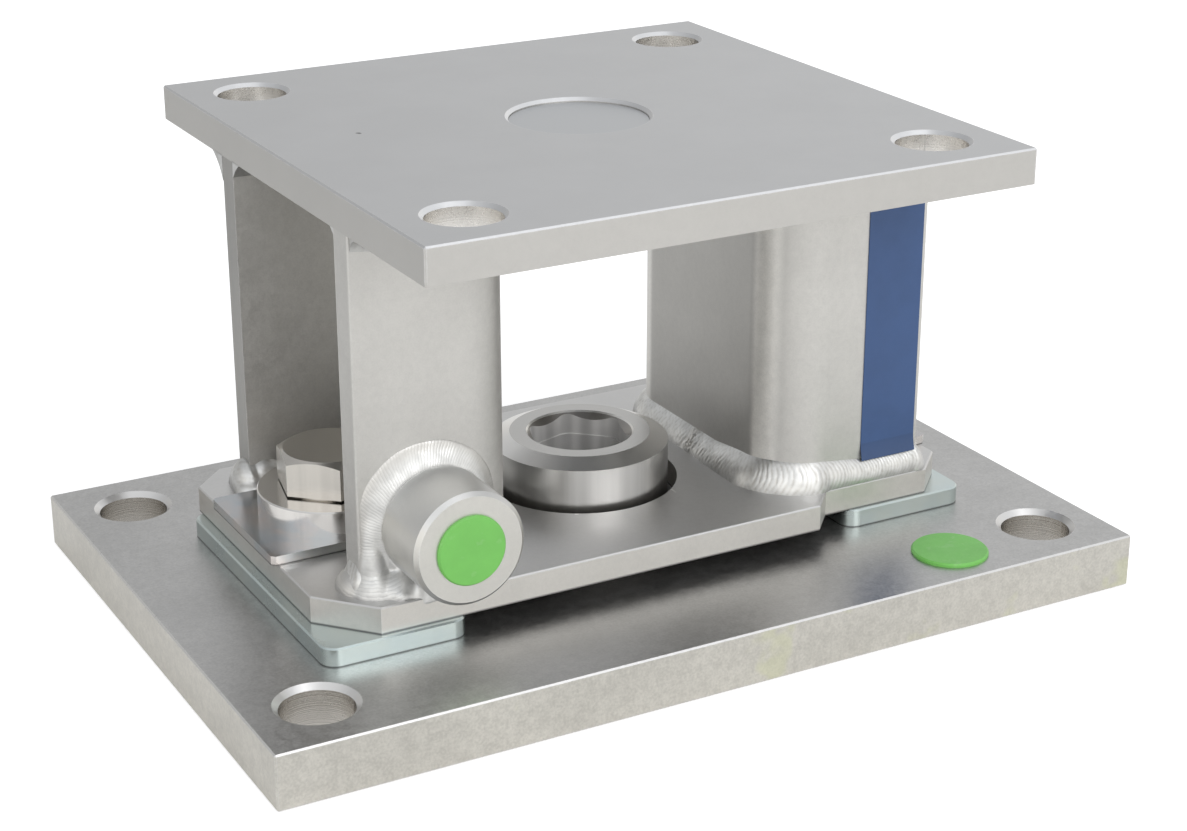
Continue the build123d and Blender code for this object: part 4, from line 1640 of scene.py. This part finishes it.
@dataclass
class BossWeld:
    """The bead round the boss, with its tongue down to the foot plate and the ground saddle."""

    ring_points: int = 420
    ring_at: Series = (0.0, 40.0, 80.0, 115.0, 140.0, 160.0, 180.0, 205.0, 225.0, 250.0, 300.0, 360.0)
    ring_legs: Series = (4.4, 6.0, 7.8, 8.8, 9.0, 7.6, 6.0, 5.6, 5.2, 4.0, 3.4, 4.4)
    ring_rises: Series = (2.4, 3.0, 3.4, 3.4, 3.4, 3.2, 3.0, 3.4, 4.6, 6.0, 2.4, 2.4)
    ring_buried: float = 1.6
    bend_start: float = -63.0
    saddle_size: Point = (20.5, 13.2, 6.6)
    saddle_middle: Point = (-74.2, -52.8, 33.0)
    voxel: float = 0.42
    smoothing: int = 44
    dabs: tuple[Dab, ...] = (
        Dab((-94.4, -47.5, 30.0), (7.2, 7.4, 10.5)),
        Dab((-94.8, -46.8, 38.0), (4.6, 5.0, 12.0)),
        Dab((-94.6, -46.4, 46.0), (4.0, 3.8, 14.0)),
        Dab((-87.6, -50.6, 30.0), (7.4, 7.4, 8.8)),
        Dab((-98.0, -42.6, 31.4), (6.2, 7.6, 6.8)),
        Dab((-89.2, -55.4, 32.4), (3.0, 2.8, 2.7)),
        Dab((-82.6, -54.4, 31.0), (6.0, 4.6, 5.4)),
    )

    def ring(self) -> bpy.types.Object:
        """Bead between the boss and the post, widest at its upper left.

        Returns:
            The ring's object.
        """
        count = self.ring_points
        angle = np.linspace(0.0, 2.0 * math.pi, count)
        degrees = np.degrees(angle)
        legs = np.interp(degrees, self.ring_at, self.ring_legs)
        legs += Waver(58, 17.0).at(degrees) * 0.3 * np.sin(angle / 2.0) ** 2
        rises = np.interp(degrees, self.ring_at, self.ring_rises)
        turned = np.column_stack((np.cos(angle), np.zeros(count), np.sin(angle)))
        roots = turned * BOSS_RADIUS + np.array([BOSS_X, -POST_HALF, BOSS_Z])
        out = np.tile([0.0, -1.0, 0.0], (count, 1))
        surface = BeadSurface(ripple_height=(0.0, 0.0), lump_height=0.3, seed=51)
        bead = WeldBead("boss_bead_ring", surface, swell=-0.35, face_steps=14, buried=self.ring_buried)
        ring = bead.build(roots, turned, out, legs, rises, closed=True)
        self.follow_bend(ring)
        return ring

    def follow_bend(self, ring: bpy.types.Object) -> None:
        """Set the ring's right part back, where the post's face bends away.

        Args:
            ring: The ring's object.
        """
        spots = read_points(ring)
        past = np.clip(spots[:, 0] / MM - self.bend_start, 0.0, BEND_RADIUS - 1.0)
        spots[:, 1] += (BEND_RADIUS - np.sqrt(BEND_RADIUS**2 - past**2)) * MM
        write_points(ring, spots)

    def saddle(self) -> bpy.types.Object:
        """Ground metal that closes the gap under the boss down to the foot plate's front edge.

        Returns:
            The saddle's object.
        """
        clear_selection()
        bpy.ops.mesh.primitive_cube_add(size=1.0)
        block = bpy.context.object
        block.name = "boss_saddle"
        block.scale = Vector(self.saddle_size) * MM
        block.location = Vector(self.saddle_middle) * MM
        bpy.ops.object.transform_apply(location=True, rotation=True, scale=True)
        return block

    def build(self, finish: bpy.types.Material) -> bpy.types.Object:
        """Melt the ring, the saddle and the lumps into one bead and dress it.

        Args:
            finish: Its material.

        Returns:
            The bead's object.
        """
        pieces = [self.ring(), self.saddle()]
        pieces += [dab.build(f"boss_dab_{index}") for index, dab in enumerate(self.dabs)]
        bead = melt_together(pieces, "boss_bead", self.voxel, self.smoothing)
        bead.data.materials.clear()
        bead.data.materials.append(finish)
        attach(bead, "module")
        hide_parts("boss_weld")
        LOG.info("bead of the boss built with %d faces", len(bead.data.polygons))
        return bead


@dataclass
class ColourBand:
    """Plain blue strip on the right post's front flange, flared over the weld at its foot."""

    right: float = 97.5
    width: float = 20.6
    low: float = 39.0
    high: float = 130.3
    thickness: float = 0.3
    clearance: float = 0.02
    lift: float = 1.1
    lift_from: float = 44.6
    columns: int = 13
    rows: int = 91

    def build(self, finish: bpy.types.Material) -> bpy.types.Object:
        """Bend and dress the strip.

        Args:
            finish: Its material.

        Returns:
            The strip's object.
        """
        strip = add_grid("colour_band_film", self.columns, self.rows)
        column, row = grid_places(strip, self.columns, self.rows)
        level = self.low + (self.high - self.low) * row / (self.rows - 1)
        place = self.right - self.width * (1.0 - column / (self.columns - 1))
        bent = np.clip((self.lift_from - level) / (self.lift_from - self.low), 0.0, 1.0)
        y = -POST_HALF - self.thickness - self.lift * bent**1.5
        write_points(strip, np.column_stack((place, y, level)) * MM)
        work_on(strip)
        modifier = strip.modifiers.new("thickness", "SOLIDIFY")
        modifier.thickness = (self.thickness - self.clearance) * MM
        modifier.offset = -1.0
        bpy.ops.object.modifier_apply(modifier=modifier.name)
        close_and_smooth(strip, 40.0)
        strip.data.materials.append(finish)
        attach(strip, "module")
        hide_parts("colour_band")
        LOG.info("film of the colour band built")
        return strip


@dataclass
class PhotoCamera:
    """The camera at the photograph's place."""

    target: Point = (0.0, 0.0, 0.05257)
    distance: float = 0.7792
    azimuth: float = -28.57
    elevation: float = 21.56
    roll: float = -0.15
    lens: float = 73.22
    sensor: float = 36.0
    shift_x: float = 0.0117
    nearest: float = 0.01

    def build(self) -> bpy.types.Object:
        """Add the camera and make it the scene's.

        Returns:
            The camera.
        """
        azimuth, elevation = math.radians(self.azimuth), math.radians(self.elevation)
        back = Vector((
            math.sin(azimuth) * math.cos(elevation),
            -math.cos(azimuth) * math.cos(elevation),
            math.sin(elevation),
        ))
        clear_selection()
        bpy.ops.object.camera_add(location=Vector(self.target) + back * self.distance)
        camera = bpy.context.object
        camera.name = "photo_camera"
        facing = back.to_track_quat("Z", "Y").to_matrix().to_4x4()
        turn = facing @ Matrix.Rotation(math.radians(self.roll), 4, "Z")
        camera.rotation_euler = turn.to_euler()
        camera.data.sensor_width = self.sensor
        camera.data.lens = self.lens
        camera.data.shift_x = self.shift_x
        camera.data.clip_start = self.nearest
        bpy.context.scene.camera = camera
        LOG.info("camera set")
        return camera


@dataclass
class Studio:
    """Pale floor, one soft lamp and a light surround."""

    floor_size: float = 6.0
    floor_level: float = -0.0002
    aim: Point = (0.0, 0.0, 0.06)
    behind: tuple[float, float] = (-0.507, 0.862)
    left: tuple[float, float] = (-0.88, -0.47)
    shown: float = 0.5
    mirrored_front: float = 0.22
    mirrored_back: float = 0.04
    dim_behind: float = 0.42
    bright_front: float = 1.3
    bright_left: float = 1.25

    @staticmethod
    def towards(graph: NodeGraph, x: object, y: object, way: tuple[float, float]) -> object:
        """How far a place lies in a level direction."""
        return graph.plus(graph.times(x, way[0]), graph.times(y, way[1]))

    def floor(self) -> bpy.types.Object:
        """Lay the pale floor.

        Returns:
            The floor's object.
        """
        clear_selection()
        bpy.ops.mesh.primitive_plane_add(size=self.floor_size, location=(0.0, 0.0, self.floor_level))
        floor = bpy.context.object
        floor.name = "studio_floor"
        bpy.ops.object.transform_apply(location=True, rotation=True, scale=True)
        material = bpy.data.materials.new("pale_floor")
        material.use_nodes = True
        graph = NodeGraph(material.node_tree)
        shader = material.node_tree.nodes["Principled BSDF"]
        shader.inputs["Base Color"].default_value = (0.82, 0.82, 0.82, 1.0)
        shader.inputs["Roughness"].default_value = 0.9
        shader.inputs["Specular IOR Level"].default_value = 0.0
        light_path = graph.add("LightPath")
        seen = light_path.outputs["Is Camera Ray"]
        x, y, _ = graph.parts(graph.add("TexCoord").outputs["Object"])
        behind = self.towards(graph, x, y, self.behind)
        mirrored = graph.spread(behind, 0.0, 0.5, self.mirrored_front, self.mirrored_back)
        mirrored = graph.times(light_path.outputs["Is Glossy Ray"], mirrored)
        strength = graph.math("MAXIMUM", graph.times(seen, self.shown), mirrored)
        tint = graph.blend(seen, (1.0, 0.97, 0.92, 1.0), WHITE)
        graph.feed(shader.inputs["Emission Color"], tint)
        graph.feed(shader.inputs["Emission Strength"], strength)
        floor.data.materials.append(material)
        return floor

    def surround(self) -> None:
        """Light the scene from all round, less from behind on the left."""
        world = bpy.data.worlds.new("surround")
        bpy.context.scene.world = world
        world.use_nodes = True
        graph = NodeGraph(world.node_tree)
        background = world.node_tree.nodes["Background"]
        x, y, z = graph.parts(graph.add("TexCoord").outputs["Generated"])
        level = graph.spread(z, 0.0, 0.9, 1.0, 0.7)
        behind = self.towards(graph, x, y, self.behind)
        dim = graph.spread(behind, 0.3, 1.0, 1.0, 1.0 - self.dim_behind)
        front = graph.spread(y, -0.9, 0.2, self.bright_front, 1.0)
        aside = self.towards(graph, x, y, self.left)
        front = graph.times(front, graph.spread(aside, 0.4, 1.0, 1.0, self.bright_left))
        strength = graph.times(graph.times(level, dim), front)
        seen = graph.add("LightPath").outputs["Is Camera Ray"]
        plain = graph.add("Mix", data_type="FLOAT")
        graph.feed(plain.inputs["Factor"], seen)
        graph.feed(plain.inputs["A"], strength)
        graph.feed(plain.inputs["B"], 1.0)
        tint = graph.blend(graph.spread(z, 0.1, 0.5), (1.0, 0.985, 0.95, 1.0), (0.97, 0.985, 1.0, 1.0))
        graph.feed(background.inputs["Color"], graph.blend(seen, tint, WHITE))
        graph.feed(background.inputs["Strength"], plain.outputs["Result"])

    def lamp(self, name: str, place: Point, size: float, power: float) -> bpy.types.Object:
        """Hang a soft square lamp that faces the module.

        Args:
            name: The lamp's name.
            place: Where it hangs.
            size: Its side.
            power: Its power in watts.

        Returns:
            The lamp.
        """
        clear_selection()
        bpy.ops.object.light_add(type="AREA", location=place)
        lamp = bpy.context.object
        lamp.name = name
        lamp.data.size = size
        lamp.data.energy = power
        way = Vector(self.aim) - Vector(place)
        lamp.rotation_euler = way.to_track_quat("-Z", "Y").to_euler()
        return lamp

    def build(self) -> None:
        """Set up the floor, the surround, the lamp and the view."""
        self.floor()
        self.surround()
        self.lamp("key_lamp", (0.2, -1.4, 1.1), 0.9, 7.0)
        bpy.context.scene.view_settings.view_transform = "Standard"
        LOG.info("studio lit")


BOLT_COLOUR: Colour = (0.6, 0.575, 0.535, 1.0)
WASHER_COLOUR: Colour = (0.77, 0.75, 0.73, 1.0)

FINISHES: dict[str, Finish] = {
    "top_plate": PlateSteel(
        "top_plate_steel",
        (0.57, 0.572, 0.58, 1.0),
        0.44,
        grain_tone=0.03,
        patch_tone=0.015,
        wear_highlight_tone=1.4,
        wear_highlight_from=0.1425,
        bevel_light_tone=1.45,
        left_bevel_light_tone=1.15,
        side_light_tint=(0.93, 0.91, 0.865, 1.0),
        holes=(0.077, 0.077),
        hole_dark=(0.76, 0.74, 0.71, 1.0),
        line_height=0.4,
        marks=((-68.1, 13.2, 1.0), (-67.9, 12.6, 0.8), (82.1, -66.6, 0.7)),
    ),
    "post": PlateSteel(
        "post_steel",
        (0.6, 0.6, 0.6, 1.0),
        0.5,
        patch_tone=0.03,
        wear_highlight_tone=1.15,
        wear_highlight_to=0.1395,
        side_light_tint=(0.98, 0.965, 0.93, 1.0),
        bend_highlight_tone=1.5,
        far_end_shade_tone=0.66,
        channel_light_tone=1.14,
    ),
    "foot": PlateSteel(
        "foot_plate_steel",
        (0.66, 0.655, 0.65, 1.0),
        0.44,
        # Painted contact shadow along the foot plate's lowest edge.
        contact_shadow_level=0.0235,
        grain_tone=0.04,
        patch_tone=0.03,
        wear_highlight_tone=1.15,
        side_light_tint=(1.0, 0.985, 0.94, 1.0),
        marks=(
            (-16.2, -27.6, 0.9),
            (19.9, -25.2, 0.5),
            (19.9, -26.0, 0.5),
            (19.85, -26.8, 0.45),
            (19.8, -27.6, 0.4),
        ),
        mark_tone=1.5,
    ),
    "boss": PlateSteel(
        "boss_steel",
        (0.66, 0.66, 0.65, 1.0),
        0.42,
        grain_tone=0.03,
        patch_tone=0.03,
        wear_highlight_tone=1.15,
        side_light_tint=(0.98, 0.965, 0.93, 1.0),
        smudge_limit=0.63,
    ),
    "base": PlateSteel(
        "base_plate_steel",
        (0.51, 0.505, 0.5, 1.0),
        0.37,
        grain_scale=1150.0,
        grain_tone=0.12,
        patch_tone=0.04,
        grain_depth=0.035 * MM,
        bevel_light_tone=1.5,
        side_light_tint=(1.14, 1.12, 1.05, 1.0),
        holes=(0.126, 0.078),
        smudge=(0.62, 0.64, 0.38, 1.0),
        smudge_limit=0.6,
    ),
    "weld": WeldMetal("weld_metal", (0.65, 0.65, 0.64, 1.0), 0.38),
    "boss_weld": BossWeldMetal("boss_weld_metal", (0.67, 0.67, 0.66, 1.0), 0.44),
    "dull_weld": WeldMetal("dull_weld_metal", (0.62, 0.62, 0.61, 1.0), 0.42, glint=1.05),
    "lower_receiver": TurnedSteel(
        "receiver_steel",
        (0.52, 0.513, 0.5, 1.0),
        0.28,
        bore=(0.0173, 0.0472),
        bevel_light_tone=1.7,
        face_light_tone=0.98,
    ),
    "upper_receiver": TurnedSteel(
        "disc_steel", (0.535, 0.545, 0.56, 1.0), 0.4, ring_tone=0.03
    ),
    "left_bolt": TurnedSteel(
        "left_bolt_steel", BOLT_COLOUR, 0.24, centre=(-0.084, 0.0083)
    ),
    "right_bolt": TurnedSteel(
        "right_bolt_steel", BOLT_COLOUR, 0.24, centre=(0.084, -0.0083)
    ),
    "left_washer": TurnedSteel(
        "left_washer_steel", WASHER_COLOUR, 0.14, centre=(-0.084, 0.0074)
    ),
    "right_washer": TurnedSteel(
        "right_washer_steel", WASHER_COLOUR, 0.14, centre=(0.084, -0.0074)
    ),
    "shim": ZincPlate(
        "shim_zinc",
        (0.6, 0.67, 0.67, 1.0),
        0.28,
        cool=(0.55, 0.64, 0.66, 1.0),
        rainbow=0.15,
    ),
    "cover": ZincPlate(
        "cover_zinc",
        (0.46, 0.48, 0.48, 1.0),
        0.22,
        # Painted contact shadow along the cover's lowest edge.
        contact_shadow_level=0.032,
        warm=(0.56, 0.49, 0.46, 1.0),
        cool=(0.4, 0.44, 0.48, 1.0),
        rainbow=0.7,
        side_light_tone=1.6,
    ),
    "green": Plastic("green_plastic", (0.172, 0.51, 0.105, 1.0), 0.4, metallic=0.0),
    "blue": Plastic(
        "blue_film",
        (0.038, 0.084, 0.21, 1.0),
        0.45,
        metallic=0.0,
        dust=0.0,
        fold=0.0446,
    ),
    "rubber": Plastic("black_rubber", (0.03, 0.03, 0.03, 1.0), 0.7, metallic=0.0),
}

NODE_FINISHES: dict[str, str] = {
    "top_plate": "top_plate",
    "left_post": "post",
    "right_post": "post",
    "foot_plate": "foot",
    "side_boss": "boss",
    "base_plate": "base",
    "lower_receiver": "lower_receiver",
    "upper_receiver": "upper_receiver",
    "upper_receiver_ring": "rubber",
    "left_hold_down_bolt": "left_bolt",
    "right_hold_down_bolt": "right_bolt",
    "left_round_washer": "left_washer",
    "right_round_washer": "right_washer",
    "left_cover_plate": "cover",
    "right_cover_plate": "cover",
    "left_shim": "shim",
    "right_shim": "shim",
    "boss_plug": "green",
    "base_plug": "green",
}


def dress_nodes(materials: dict[str, bpy.types.Material]) -> None:
    """Give each CAD node that stays in view its finish.

    Args:
        materials: The materials by finish name.
    """
    for node, finish in NODE_FINISHES.items():
        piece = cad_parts[node]
        piece.data.materials.clear()
        piece.data.materials.append(materials[finish])
        LOG.info("%s dressed in %s", node, finish)


def main() -> None:
    """Build the looks of the module in order."""
    logging.basicConfig(level=logging.INFO, format="%(message)s")
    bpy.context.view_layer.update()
    effects = Effects()
    materials = {name: finish.material(effects) for name, finish in FINISHES.items()}
    dress_nodes(materials)
    YokeWelds().build(materials["weld"], materials["dull_weld"])
    BossWeld().build(materials["boss_weld"])
    ColourBand().build(materials["blue"])
    PhotoCamera().build()
    Studio().build()


if __name__ == "__main__":
    main()
